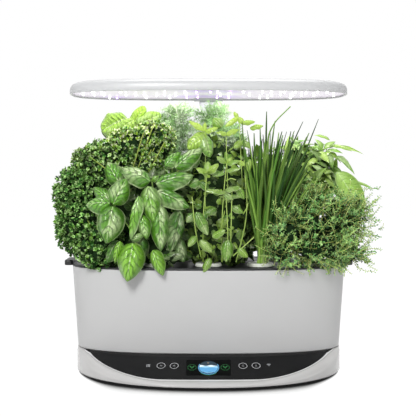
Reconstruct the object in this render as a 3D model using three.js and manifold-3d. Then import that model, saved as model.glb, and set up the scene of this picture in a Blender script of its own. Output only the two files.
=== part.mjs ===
// Countertop hydroponic garden: a water bowl on a powered base, nine grown seed pods in its deck, and an LED
// hood on a telescopic arm. Millimetres, +Z up, the control panel faces -Y. The origin lies on the surface
// that the feet stand on, under the middle of the bowl.
import * as THREE from "three";
import { mergeVertices } from "three/addons/utils/BufferGeometryUtils.js";
import Module from "manifold-3d";

const wasm = await Module();
wasm.setup();

// Counts
const ringSegments = 48;
const roundSegments = 14;
const podSegments = 12;
const footRows = 2;
const panelColumns = 32;

// Clearances: between pieces that touch, and what a cutting tool runs past a face
const seatGap = 0.3;
const slideGap = 0.4;
const overrun = 2;

// Base
const baseHalfWidth = 197;
const baseFrontDepth = 147;
const baseRearDepth = 139;
const basePower = 2.2;
const baseHeight = 35;
const baseWall = 3.5;
const baseSkin = 3;
const noseHeight = 5.2;
const shoulderDrop = 0.8;
const shoulderInset = 0.4;
const footHeight = 2;
const footRadius = 9;
const footRecess = 0.8;
const footInset = 57;
const footSpread = baseHalfWidth - footInset;
const footSpreadFront = 62;
const plateGround = 1.2;
const plateThickness = 2.8;
const plateInset = 1.2;

// Control panel, set in the sloping front of the base
const panelSlopeDegrees = 28;
const panelReach = 48;
const panelFlatHalf = 60;
const panelEndInset = 21;
const panelTaper = baseHalfWidth - panelEndInset - panelFlatHalf;
const panelThickness = 2.2;
const panelBed = 3;
const panelTipWidth = 0.8;
const screenWidth = 62;
const screenLength = 32;
const screenDepth = 8;
const screenDown = 25.5;
const buttonRadius = 6.2;
const buttonRise = 0.5;
const buttonStem = 2.4;
const buttonTravel = 1;
const buttonInner = 47.2;
const buttonOuter = 65;
const buttonDown = 23;
const flangeWidth = 1.4;
const flangeThickness = 0.9;

// Electronics in the base
const boardWidth = 130;
const boardDepth = 66;
const boardThickness = 1.6;
const boardForward = 8;
const standoff = 4;
const standoffSide = 6;
const chipSide = 16;
const chipHeight = 3;
const jackWidth = 12;
const jackDepth = 15;
const jackHeight = 12;
const jackAside = 60;
const jackBore = 3.3;
const jackBoreDepth = 10;

// Bowl
const bowlPower = 2.6;
const bowlFootInset = 6.3;
const bowlInset = 0.7;
const bowlFlareWidth = 8.2;
const bowlFlareDepth = 10;
const bowlBottomHalfWidth = baseHalfWidth - bowlInset;
const bowlBottomHalfDepth = 79.5;
const bowlRimHalfWidth = bowlBottomHalfWidth + bowlFlareWidth;
const bowlRimHalfDepth = bowlBottomHalfDepth + bowlFlareDepth;
const bowlHeight = 120;
const bowlWall = 3.2;
const bowlFootHeight = 7;

// Deck
const deckThickness = 3;
const deckSunk = 1.5;
const deckSkirt = 6;
const deckSkirtWall = 2;
const deckBead = 2.6;
const deckBeadWidth = 2.4;
const deckOverhang = 0.8;
const lugReach = 10;
const lugWidth = 46;
const lugHeight = 8;
const lugRound = 3.6;

// Pods
const podEndMargin = 52.5;
const podSpacing = (bowlRimHalfWidth - podEndMargin) / 2;
const podRowDepth = 45;
const podBackRow = 42;
const outerPodSetback = 12;
const podCollarRadius = 20;
const podCollarTop = 18;
const podCollarHeight = 5.2;
const podCollarStep = 1.5;
const podHoleRadius = 17.6;
const podMouthRadius = 11.5;
const podBottomRadius = 13;
const podLength = 59;
const podWall = 1.4;
const podSlotWidth = 5;
const podSlotLength = 40;
const spongeInset = 1.1;
const spongeTopDrop = 1;

// Filling port and its lid
const portWidth = 22;
const portDepth = 20;
const portBack = 64;
const lidBorder = 3;
const lidThickness = 2.2;
const hingeRadius = 1.6;
const hingePinRadius = 1;
const hingeEar = 3;
const hingeEarHeight = 4.6;

// Pump, riser and water gauge in the bowl
const pumpEndMargin = 44.5;
const pumpAside = bowlRimHalfWidth - pumpEndMargin;
const pumpBack = 5;
const pumpRadius = 20;
const pumpHeight = 31;
const chamberRadius = 13;
const chamberHeight = 12;
const chamberFloor = 2.5;
const inletWidth = 14;
const spindleRadius = 1.5;
const impellerRadius = 11.5;
const impellerDisc = 3;
const impellerHub = 3.6;
const bladeThickness = 1.6;
const bladeCount = 4;
const riserRadius = 4.5;
const riserBore = 2.6;
const riserAside = 9;
const filterThickness = 5;
const filterHeight = 22;
const gaugeEndMargin = 44.5;
const gaugeAside = bowlRimHalfWidth - gaugeEndMargin;
const gaugeBack = 8;
const gaugeRodRadius = 2.5;
const gaugeRodLength = 96;
const floatRadius = 12;
const floatHeight = 14;

// Arm
const armBack = 102.5;
const upperPostWidth = 29.5;
const upperPostDepth = 12.4;
const upperPostWall = 1.6;
const middlePostWall = 1.7;
const outerPostWall = 2;
const postRound = 4;
const outerPostTop = 250;
const middlePostTop = 330;
const middlePostFoot = 45;
const upperPostFoot = 90;
const collarHeight = 15;
const collarWall = 4;
const latchWidth = 24;
const latchDepth = 9;
const latchHeight = 28;
const latchDrop = 4;
const latchWall = 2.4;
const releaseProud = 3;
const releaseTravel = 2.5;
const headWidth = 47;
const headDepth = 16;
const headHeight = 11.7;
const headDrop = 2.2;
const headSocket = 8.4;
const screwAside = 19;
const screwRadius = 1.4;
const screwHeadRadius = 2.8;
const screwHeadHeight = 1.8;
const screwPilot = 5;
const bossRadius = 3.4;

// Hood
const hoodHeight = 412;
const hoodHalfWidth = 211;
const hoodHalfDepth = 96;
const hoodBack = 19;
const hoodPower = 3;
const hoodWall = 2.5;
const hoodRise = 23;
const ledRecess = 2.6;
const ledBoardThickness = 1.6;
const ledBoardGap = 0.6;
const ledSide = 5;
const ledProud = 0.9;
const ledColumns = 13;
const ledRows = 4;
const spreaderThickness = 1.5;
const spreaderInset = 16;
const finHeight = 6;
const finThickness = 2;
const finCount = 5;

// Plants: their crowns stand in the pod mouths, and the canopy stops short of the lamp
const crownRadius = 8;
const canopyGap = 9;
const stemRadius = 1.7;
const leafThickness = 2.2;
const bladeRadius = 1.3;

// Derived heights
const plateTop = plateGround + plateThickness;
const shellBottom = plateTop + seatGap;
const bowlSeat = baseHeight - bowlFootHeight;
const bowlFloor = bowlSeat + seatGap + bowlWall;
const bowlEdge = baseHeight + seatGap;
const bowlRim = baseHeight + bowlHeight;
const deckUnder = bowlRim - deckSunk;
const deckTop = deckUnder + deckThickness;
const deckEdge = bowlRim + seatGap;
const podSeat = deckTop + seatGap;
const podTop = podSeat + podCollarHeight;
const crownHeight = podSeat + spongeTopDrop;
const canopyHeight = hoodHeight - canopyGap - crownHeight;
const slope = Math.tan(THREE.MathUtils.degToRad(panelSlopeDegrees));
const middlePostWidth = upperPostWidth + 2 * (slideGap + middlePostWall);
const middlePostDepth = upperPostDepth + 2 * (slideGap + middlePostWall);
const outerPostWidth = middlePostWidth + 2 * (slideGap + outerPostWall);
const outerPostDepth = middlePostDepth + 2 * (slideGap + outerPostWall);
const headBottom = hoodHeight - headDrop;
const headTop = headBottom + headHeight;

// Solids

function closedSolid(positions, triangles) {
  const whole = triangles.filter(([p, q, r]) => p !== q && q !== r && r !== p);
  const build = (faces) =>
    new wasm.Manifold(
      new wasm.Mesh({
        numProp: 3,
        vertProperties: new Float32Array(positions),
        triVerts: new Uint32Array(faces.flat()),
      }),
    );
  const solid = build(whole);
  return solid.volume() > 0 ? solid : build(whole.map(([p, q, r]) => [p, r, q]));
}

function solidFrom(geometry) {
  const bare = geometry.clone();
  bare.deleteAttribute("normal");
  bare.deleteAttribute("uv");
  const welded = mergeVertices(bare, 1e-4);
  const corners = welded.index.array;
  const triangles = [];
  for (let i = 0; i < corners.length; i += 3) {
    triangles.push([corners[i], corners[i + 1], corners[i + 2]]);
  }
  return closedSolid(welded.attributes.position.array, triangles);
}

function geometryFrom(solid) {
  const mesh = solid.getMesh();
  const geometry = new THREE.BufferGeometry();
  geometry.setAttribute("position", new THREE.BufferAttribute(mesh.vertProperties, 3));
  geometry.setIndex(new THREE.BufferAttribute(mesh.triVerts, 1));
  geometry.computeVertexNormals();
  return geometry;
}

const join = (first, ...others) => others.reduce((whole, solid) => whole.add(solid), first);
const cut = (first, ...tools) => tools.reduce((whole, tool) => whole.subtract(tool), first);

// A box between two opposite corners.
function block([x0, y0, z0], [x1, y1, z1]) {
  const box = new THREE.BoxGeometry(x1 - x0, y1 - y0, z1 - z0);
  box.translate((x0 + x1) / 2, (y0 + y1) / 2, (z0 + z1) / 2);
  return solidFrom(box);
}

// An upright cylinder or cone on the axis (x, y), from z0 to z1.
function drum(x, y, z0, z1, bottomRadius, topRadius = bottomRadius, sides = roundSegments) {
  const round = new THREE.CylinderGeometry(topRadius, bottomRadius, z1 - z0, sides);
  round.rotateX(Math.PI / 2);
  round.translate(x, y, (z0 + z1) / 2);
  return solidFrom(round);
}

// A solid of revolution about the upright axis through (x, y), from a profile of [radius, height].
function turned(x, y, profile, sides = podSegments) {
  const points = profile.map(([radius, height]) => new THREE.Vector2(radius, height));
  const lathe = new THREE.LatheGeometry(points, sides);
  lathe.rotateX(Math.PI / 2);
  lathe.translate(x, y, 0);
  return solidFrom(lathe);
}

// A rectangle with round corners, extruded upwards from z0 to z1.
function roundedPost(x, y, width, depth, round, z0, z1) {
  const shape = new THREE.Shape();
  const [w, d] = [width / 2, depth / 2];
  shape.moveTo(-w + round, -d);
  shape.lineTo(w - round, -d);
  shape.absarc(w - round, -d + round, round, -Math.PI / 2, 0);
  shape.lineTo(w, d - round);
  shape.absarc(w - round, d - round, round, 0, Math.PI / 2);
  shape.lineTo(-w + round, d);
  shape.absarc(-w + round, d - round, round, Math.PI / 2, Math.PI);
  shape.lineTo(-w, -d + round);
  shape.absarc(-w + round, -d + round, round, Math.PI, Math.PI * 1.5);
  const post = new THREE.ExtrudeGeometry(shape, { depth: z1 - z0, bevelEnabled: false, curveSegments: 3 });
  post.translate(x, y, z0);
  return solidFrom(post);
}

// A point of a superellipse outline; the front half may have another depth than the rear half.
function outline(angle, halfWidth, frontDepth, rearDepth, power) {
  const [c, s] = [Math.cos(angle), Math.sin(angle)];
  const round = (value) => Math.sign(value) * Math.abs(value) ** (2 / power);
  return [halfWidth * round(c), (s < 0 ? frontDepth : rearDepth) * round(s)];
}

// A solid whose section at each angle is a chain of [x, y, z] that starts and ends on the axis.
function ringSolid(chainAt, segments = ringSegments) {
  const chains = Array.from({ length: segments }, (_, i) => chainAt((2 * Math.PI * i) / segments));
  const geometry = new THREE.BufferGeometry();
  geometry.setAttribute("position", new THREE.Float32BufferAttribute(chains.flat(2), 3));
  const count = chains[0].length;
  const index = [];
  for (let i = 0; i < segments; i++) {
    const next = (i + 1) % segments;
    for (let j = 0; j + 1 < count; j++) {
      const [p, q] = [i * count + j, next * count + j];
      index.push(p, q, q + 1, p, q + 1, p + 1);
    }
  }
  geometry.setIndex(index);
  return solidFrom(geometry);
}

// A closed slab between two surfaces that share a grid of points: lower(i, j) and upper(i, j).
function slabSolid(columns, rows, lower, upper) {
  const points = [];
  for (const surface of [lower, upper]) {
    for (let i = 0; i <= columns; i++) {
      for (let j = 0; j <= rows; j++) {
        points.push(surface(i, j));
      }
    }
  }
  const size = (columns + 1) * (rows + 1);
  const at = (i, j, level) => level * size + i * (rows + 1) + j;
  const triangles = [];
  const quad = (a, b, c, d) => triangles.push([a, b, c], [a, c, d]);
  for (let i = 0; i < columns; i++) {
    for (let j = 0; j < rows; j++) {
      quad(at(i, j, 1), at(i + 1, j, 1), at(i + 1, j + 1, 1), at(i, j + 1, 1));
      quad(at(i, j, 0), at(i, j + 1, 0), at(i + 1, j + 1, 0), at(i + 1, j, 0));
    }
    quad(at(i, 0, 0), at(i + 1, 0, 0), at(i + 1, 0, 1), at(i, 0, 1));
    quad(at(i, rows, 1), at(i + 1, rows, 1), at(i + 1, rows, 0), at(i, rows, 0));
  }
  for (let j = 0; j < rows; j++) {
    quad(at(0, j, 1), at(0, j + 1, 1), at(0, j + 1, 0), at(0, j, 0));
    quad(at(columns, j, 0), at(columns, j + 1, 0), at(columns, j + 1, 1), at(columns, j, 1));
  }
  return closedSolid(points.flat(), triangles);
}

const garden = new THREE.Group();

function addPiece(name, solid, color, roughness = 0.5, metalness = 0) {
  const material = new THREE.MeshStandardMaterial({ color, roughness, metalness });
  material.name = name;
  const mesh = new THREE.Mesh(geometryFrom(solid), material);
  mesh.name = name;
  garden.add(mesh);
}

const colors = {
  hoodWhite: 0xe9e9ea,
  shellGrey: 0xd6d6d6,
  bowlGrey: 0xc4c4c5,
  black: 0x202123,
  darkPlastic: 0x2b2d2f,
  rubber: 0x1b1b1b,
  pcb: 0x2c5a3a,
  ledBoard: 0xe8e2ee,
  aluminium: 0xb8babc,
  pod: 0xe4e6d8,
  sponge: 0x4a3a2a,
  clear: 0xcfd8dc,
};

// Panel outline: the panel starts at the bowl's bottom edge and is widest across the middle of the front.
function bowlEdgePoint(angle) {
  return outline(angle, bowlBottomHalfWidth, bowlBottomHalfDepth, bowlBottomHalfDepth, bowlPower);
}

function outwardNormal([x, y]) {
  const pull = (value, half) => (Math.sign(value) * Math.abs(value / half) ** (bowlPower - 1)) / half;
  const [nx, ny] = [pull(x, bowlBottomHalfWidth), pull(y, bowlBottomHalfDepth)];
  const length = Math.hypot(nx, ny);
  return [nx / length, ny / length];
}

function panelWidthAt([x, y]) {
  const along = THREE.MathUtils.clamp((Math.abs(x) - panelFlatHalf) / panelTaper, 0, 1);
  return y < 0 ? panelReach * (1 - along ** 1.9) : 0;
}

// A point of the sloping front, at a distance out from the bowl's bottom edge.
function slopePoint(angle, distance) {
  const edge = bowlEdgePoint(angle);
  const [nx, ny] = outwardNormal(edge);
  return [edge[0] + nx * distance, edge[1] + ny * distance, baseHeight - distance * slope];
}

// Where the bowl's front bottom edge is at x.
function edgeAngle(x) {
  const share = Math.sign(x) * (Math.abs(x) / bowlBottomHalfWidth) ** (bowlPower / 2);
  return -Math.acos(share);
}

// A solid made around the origin, set on the slope with its +Z along the outward normal there.
function onSlope(geometry, edgeX, down, out) {
  const angle = edgeAngle(edgeX);
  const [nx, ny] = outwardNormal(bowlEdgePoint(angle));
  geometry.translate(0, 0, out);
  geometry.rotateX(THREE.MathUtils.degToRad(panelSlopeDegrees));
  geometry.rotateZ(Math.atan2(nx, -ny));
  geometry.translate(...slopePoint(angle, down));
  return solidFrom(geometry);
}

function panelSlab(margin, lift, depth) {
  const columns = panelColumns;
  const rows = 1;
  const tip = Math.acos((panelFlatHalf + panelTaper) / bowlBottomHalfWidth) ** (bowlPower / 2);
  const place = (i, j) => {
    const angle = -Math.PI + tip + ((Math.PI - 2 * tip) * i) / columns;
    const reach = Math.max(panelWidthAt(bowlEdgePoint(angle)), panelTipWidth);
    const from = seatGap - margin;
    return slopePoint(angle, from + ((reach + margin - from) * j) / rows);
  };
  const raised = (amount) => (i, j) => {
    const [x, y, z] = place(i, j);
    return [x, y, z + amount];
  };
  return slabSolid(columns, rows, raised(-depth), raised(lift));
}

// Base: shell, bottom plate, feet, panel, display, buttons and electronics
function makeBase() {
  const footHole = { w: bowlBottomHalfWidth - bowlFootInset + slideGap, d: bowlBottomHalfDepth - bowlFootInset + slideGap };
  const ceiling = bowlSeat - baseSkin;
  const rimOf = (angle, inset) =>
    outline(angle, baseHalfWidth - inset, baseFrontDepth - inset, baseRearDepth - inset, basePower);
  const shellChain = (angle) => {
    const edge = bowlEdgePoint(angle);
    const reach = panelWidthAt(edge);
    const [nx, ny] = outwardNormal(edge);
    const crest = [edge[0] + nx * reach, edge[1] + ny * reach, baseHeight - reach * slope];
    const [sx, sy] = rimOf(angle, shoulderInset);
    const front = sy < 0 ? 1 - Math.abs(sx / baseHalfWidth) ** 5 : 0;
    const shoulder = baseHeight - shoulderDrop - front * (baseHeight - shoulderDrop - noseHeight);
    const middle = [
      THREE.MathUtils.lerp(crest[0], sx, 0.7),
      THREE.MathUtils.lerp(crest[1], sy, 0.7),
      THREE.MathUtils.lerp(shoulder, crest[2], 0.75),
    ];
    const [hx, hy] = outline(angle, footHole.w, footHole.d, footHole.d, bowlPower);
    const [ox, oy] = rimOf(angle, 0);
    const inside = Math.max(reach - 2 * baseWall, 0);
    const innerEdge = reach > baseWall ? [edge[0] + nx * inside, edge[1] + ny * inside] : rimOf(angle, baseWall);
    const innerTop = Math.min(baseHeight - inside * slope - panelBed - baseSkin, ceiling);
    return [
      [0, 0, bowlSeat],
      [hx, hy, bowlSeat],
      [hx, hy, baseHeight],
      [...edge, baseHeight],
      crest,
      middle,
      [sx, sy, shoulder],
      [ox, oy, shellBottom],
      [...innerEdge, shellBottom],
      [...innerEdge, innerTop],
      [hx, hy, ceiling],
      [0, 0, ceiling],
    ];
  };
  const screenHole = (side) =>
    onSlope(
      new THREE.BoxGeometry(screenWidth + 2 * side, screenLength + 2 * side, 3 * screenDepth),
      0,
      screenDown,
      0,
    );
  const buttonPlaces = [-buttonOuter, -buttonInner, buttonInner, buttonOuter];
  const stem = (x, radius, from, to) => {
    const round = new THREE.CylinderGeometry(radius, radius, to - from, roundSegments);
    round.rotateX(Math.PI / 2);
    return onSlope(round, x, buttonDown, (from + to) / 2);
  };
  const flangeTop = -panelBed;
  const flangeBottom = flangeTop - flangeThickness;
  const well = flangeBottom - buttonTravel - 2 * seatGap;
  const postHole = roundedPost(
    0,
    armBack,
    outerPostWidth + 2 * slideGap,
    outerPostDepth + 2 * slideGap,
    postRound,
    shellBottom,
    baseHeight + overrun,
  );
  const jackY = rimOf(Math.PI / 2, 0)[1] - baseWall * 2;
  const jackBox = (gap) =>
    block(
      [jackAside - jackWidth / 2 - gap, jackY - jackDepth - gap, plateTop + seatGap - gap],
      [jackAside + jackWidth / 2 + gap, jackY + gap + (gap ? 4 * baseWall : 0), plateTop + seatGap + jackHeight + gap],
    );
  const shell = cut(
    ringSolid(shellChain),
    panelSlab(seatGap, 4 * panelBed, panelBed),
    screenHole(slideGap),
    ...buttonPlaces.map((x) => stem(x, buttonRadius + flangeWidth + slideGap, well, overrun)),
    postHole,
    jackBox(seatGap),
  );
  addPiece("base_shell", shell, colors.shellGrey, 0.35);

  const panel = cut(
    panelSlab(0, 0, panelThickness),
    screenHole(slideGap),
    ...buttonPlaces.map((x) => stem(x, buttonRadius + slideGap, well, overrun)),
  );
  addPiece("control_panel", panel, colors.black, 0.15);

  const display = new THREE.BoxGeometry(screenWidth, screenLength, screenDepth);
  addPiece("display_module", onSlope(display, 0, screenDown, -screenDepth / 2), 0x10161c, 0.1);

  const buttonProfile = [
    [0, flangeBottom],
    [buttonRadius + flangeWidth, flangeBottom],
    [buttonRadius + flangeWidth, -panelThickness - seatGap],
    [buttonRadius, -panelThickness - seatGap],
    [buttonRadius, buttonRise],
    [0, buttonRise],
  ].map(([radius, height]) => new THREE.Vector2(radius, height));
  const names = ["mode_button", "light_button", "water_button", "feed_button"];
  names.forEach((name, i) => {
    const cap = new THREE.LatheGeometry(buttonProfile, roundSegments);
    cap.rotateX(Math.PI / 2);
    addPiece(name, onSlope(cap, buttonPlaces[i], buttonDown, 0), colors.darkPlastic, 0.3);
  });

  const plateChain = (angle) => {
    const [x, y] = rimOf(angle, plateInset);
    return [
      [0, 0, plateGround],
      [x, y, plateGround],
      [x, y, plateTop],
      [0, 0, plateTop],
    ];
  };
  const feet = [];
  for (const side of [-1, 1]) {
    for (let row = 0; row < footRows; row++) {
      feet.push([side * footSpread, row ? footSpreadFront : -footSpreadFront]);
    }
  }
  const boardZ = plateTop + standoff;
  const corners = [-1, 1].flatMap((i) => [-1, 1].map((j) => [(i * boardWidth) / 2.4, (j * boardDepth) / 2.4]));
  const posts = corners.map(([x, y]) =>
    block(
      [x - standoffSide / 2, y + boardForward - standoffSide / 2, plateTop - plateThickness / 2],
      [x + standoffSide / 2, y + boardForward + standoffSide / 2, boardZ],
    ),
  );
  const plate = cut(
    join(ringSolid(plateChain), ...posts),
    ...feet.map(([x, y]) => drum(x, y, 0, footHeight + seatGap, footRadius + slideGap)),
  );
  addPiece("base_plate", plate, colors.darkPlastic, 0.6);
  feet.forEach(([x, y], i) => {
    const name = `foot_${y < 0 ? "front" : "rear"}_${x < 0 ? "left" : "right"}`;
    addPiece(name, drum(x, y, 0, footHeight, footRadius - footRecess, footRadius), colors.rubber, 0.9);
  });

  const boardBottom = boardZ + seatGap;
  const boardTop = boardBottom + boardThickness;
  const chips = [-boardWidth / 4, 0, boardWidth / 4].map((x, i) =>
    block(
      [x - chipSide / 2, boardForward - chipSide / 2, boardBottom + boardThickness / 2],
      [x + chipSide / 2, boardForward + chipSide / 2, boardTop + chipHeight * (i + 1)],
    ),
  );
  const board = join(
    block([-boardWidth / 2, boardForward - boardDepth / 2, boardBottom], [boardWidth / 2, boardForward + boardDepth / 2, boardTop]),
    ...chips,
  );
  addPiece("main_board", board, colors.pcb, 0.6);

  const bore = new THREE.CylinderGeometry(jackBore, jackBore, jackBoreDepth, roundSegments);
  bore.translate(jackAside, jackY + overrun - jackBoreDepth / 2, plateTop + seatGap + jackHeight / 2);
  addPiece("power_jack", cut(jackBox(0), solidFrom(bore)), colors.black, 0.5);
}

// Arm: collar, three nested posts, latch button and head
function tube(width, depth, wall, z0, z1) {
  return cut(
    roundedPost(0, armBack, width, depth, postRound, z0, z1),
    roundedPost(0, armBack, width - 2 * wall, depth - 2 * wall, postRound - wall, z0 - overrun, z1 + overrun),
  );
}

function makeArm() {
  const collarWidth = outerPostWidth + 2 * (seatGap + collarWall);
  const collarDepth = outerPostDepth + 2 * collarWall;
  const collarZ = baseHeight + seatGap;
  const collar = cut(
    roundedPost(0, armBack + collarWall, collarWidth, collarDepth, postRound + 1, collarZ, collarZ + collarHeight),
    roundedPost(0, armBack, outerPostWidth + 2 * seatGap, outerPostDepth + 2 * seatGap, postRound, baseHeight, collarZ + collarHeight + overrun),
  );
  addPiece("arm_collar", collar, colors.shellGrey, 0.4);

  const rear = armBack + outerPostDepth / 2;
  const latchTop = outerPostTop - latchDrop;
  const latch = block(
    [-latchWidth / 2, rear - outerPostWall / 2, latchTop - latchHeight],
    [latchWidth / 2, rear + latchDepth, latchTop],
  );
  const pocket = (gap, y0, y1) =>
    block(
      [-latchWidth / 2 + latchWall + slideGap - gap, y0, latchTop - latchHeight + latchWall + slideGap - gap],
      [latchWidth / 2 - latchWall - slideGap + gap, y1, latchTop - latchWall - slideGap + gap],
    );
  const pocketFloor = rear + latchWall;
  const outer = cut(
    join(tube(outerPostWidth, outerPostDepth, outerPostWall, plateTop + seatGap, outerPostTop), latch),
    pocket(slideGap, pocketFloor, rear + latchDepth + overrun),
  );
  addPiece("outer_post", outer, colors.shellGrey, 0.4);
  const buttonFront = pocketFloor + releaseTravel + seatGap;
  addPiece("release_button", pocket(0, buttonFront, rear + latchDepth + releaseProud), colors.darkPlastic, 0.4);

  const middle = tube(middlePostWidth, middlePostDepth, middlePostWall, middlePostFoot, middlePostTop);
  addPiece("middle_post", middle, colors.hoodWhite, 0.4);
  const socketTop = headBottom + headSocket;
  const upper = tube(upperPostWidth, upperPostDepth, upperPostWall, upperPostFoot, socketTop - seatGap);
  addPiece("upper_post", upper, colors.hoodWhite, 0.4);

  const screwHoles = [-1, 1].map((side) =>
    drum(side * screwAside, armBack, headBottom - overrun, headTop + overrun, screwRadius + seatGap),
  );
  const headSeats = [-1, 1].map((side) =>
    drum(side * screwAside, armBack, headBottom - overrun, headBottom + screwHeadHeight + seatGap, screwHeadRadius + seatGap),
  );
  const head = cut(
    roundedPost(0, armBack, headWidth, headDepth, postRound, headBottom, headTop),
    roundedPost(0, armBack, upperPostWidth + 2 * seatGap, upperPostDepth + 2 * seatGap, postRound, headBottom - overrun, socketTop),
    ...screwHoles,
    ...headSeats,
  );
  addPiece("arm_head", head, colors.hoodWhite, 0.4);
  for (const side of [-1, 1]) {
    const screw = join(
      drum(side * screwAside, armBack, headBottom + seatGap, headTop + screwPilot, screwRadius),
      drum(side * screwAside, armBack, headBottom + seatGap, headBottom + screwHeadHeight, screwHeadRadius),
    );
    addPiece(side < 0 ? "hood_screw_left" : "hood_screw_right", screw, colors.aluminium, 0.3, 1);
  }
}

// Hood: shell, LED board and heat spreader. Its profile gives the inset and rise of each ring as shares.
const hoodProfileShares = [
  [0, 0],
  [0.006, 0.4],
  [0.036, 0.6],
  [0.09, 0.72],
  [0.21, 0.82],
  [0.5, 0.93],
];

function makeHood() {
  const ring = (angle, inset) => {
    const [x, y] = outline(angle, hoodHalfWidth - inset, hoodHalfDepth - inset, hoodHalfDepth - inset, hoodPower);
    return [x, y + hoodBack];
  };
  const shellChain = (angle) => {
    const outside = hoodProfileShares.map(([inset, rise]) => [
      ...ring(angle, inset * hoodHalfDepth),
      hoodHeight + rise * hoodRise,
    ]);
    const inside = hoodProfileShares.map(([inset, rise]) => [
      ...ring(angle, inset * (hoodHalfDepth - hoodWall) + hoodWall),
      hoodHeight + rise * (hoodRise - hoodWall) - (rise ? 0.5 * hoodWall : 0),
    ]);
    return [
      [0, hoodBack, hoodHeight + hoodRise - hoodWall],
      ...inside.reverse(),
      ...outside,
      [0, hoodBack, hoodHeight + hoodRise],
    ];
  };
  const dome = ringSolid(shellChain);
  const bossBottom = headTop + seatGap;
  const bosses = [-1, 1].map((side) =>
    drum(side * screwAside, armBack, bossBottom, hoodHeight + 0.7 * hoodRise, bossRadius),
  );
  const pilots = [-1, 1].map((side) =>
    drum(side * screwAside, armBack, bossBottom - overrun, headTop + screwPilot + seatGap, screwRadius + seatGap),
  );
  const room = roundedPost(0, armBack, headWidth + 2 * seatGap, headDepth + 2 * seatGap, postRound, headBottom, bossBottom);
  addPiece("hood_shell", cut(join(dome, ...bosses), ...pilots, room), colors.hoodWhite, 0.3);

  const boardBottom = hoodHeight + ledRecess;
  const boardTop = boardBottom + ledBoardThickness;
  const plateChain = (inset, z0, z1) => (angle) => {
    const [x, y] = ring(angle, inset);
    return [
      [0, hoodBack, z0],
      [x, y, z0],
      [x, y, z1],
      [0, hoodBack, z1],
    ];
  };
  const notch = (z0, z1) =>
    block(
      [-headWidth / 2 - slideGap, armBack - headDepth / 2 - slideGap, z0 - overrun],
      [headWidth / 2 + slideGap, hoodBack + hoodHalfDepth, z1 + overrun],
    );
  const leds = [];
  for (let column = 0; column < ledColumns; column++) {
    for (let row = 0; row < ledRows; row++) {
      const across = (2 * column + 1) / ledColumns - 1;
      const back = (2 * row + 1) / ledRows - 1;
      const stagger = column % 2 ? 0.08 : -0.08;
      const x = across * 0.93 * hoodHalfWidth;
      const y = hoodBack + (back * 0.82 + stagger) * hoodHalfDepth;
      const fits = Math.abs(x / hoodHalfWidth) ** 3 + Math.abs((y - hoodBack) / hoodHalfDepth) ** 3 < 0.78;
      const clearOfHead = Math.abs(x) > headWidth / 2 + ledSide || y < armBack - headDepth / 2 - 2 * ledSide;
      if (fits && clearOfHead) {
        leds.push(
          block([x - ledSide / 2, y - ledSide / 2, boardBottom - ledProud], [x + ledSide / 2, y + ledSide / 2, boardBottom + ledProud]),
        );
      }
    }
  }
  const boardInset = hoodWall + ledBoardGap;
  const ledBoard = join(
    cut(ringSolid(plateChain(boardInset, boardBottom, boardTop)), notch(boardBottom, boardTop)),
    ...leds,
  );
  addPiece("led_board", ledBoard, colors.ledBoard, 0.4);

  const spreaderBottom = boardTop + seatGap;
  const spreaderTop = spreaderBottom + spreaderThickness;
  const fins = [];
  for (let i = 0; i < finCount; i++) {
    const y = hoodBack + ((2 * i + 1) / finCount - 1) * 0.55 * hoodHalfDepth;
    fins.push(
      block(
        [-0.7 * hoodHalfWidth, y - finThickness / 2, spreaderTop - spreaderThickness / 2],
        [0.7 * hoodHalfWidth, y + finThickness / 2, spreaderTop + finHeight],
      ),
    );
  }
  const spreader = join(
    cut(ringSolid(plateChain(spreaderInset, spreaderBottom, spreaderTop)), notch(spreaderBottom, spreaderTop)),
    ...fins,
  );
  addPiece("heat_spreader", spreader, colors.aluminium, 0.4, 1);
}

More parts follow.
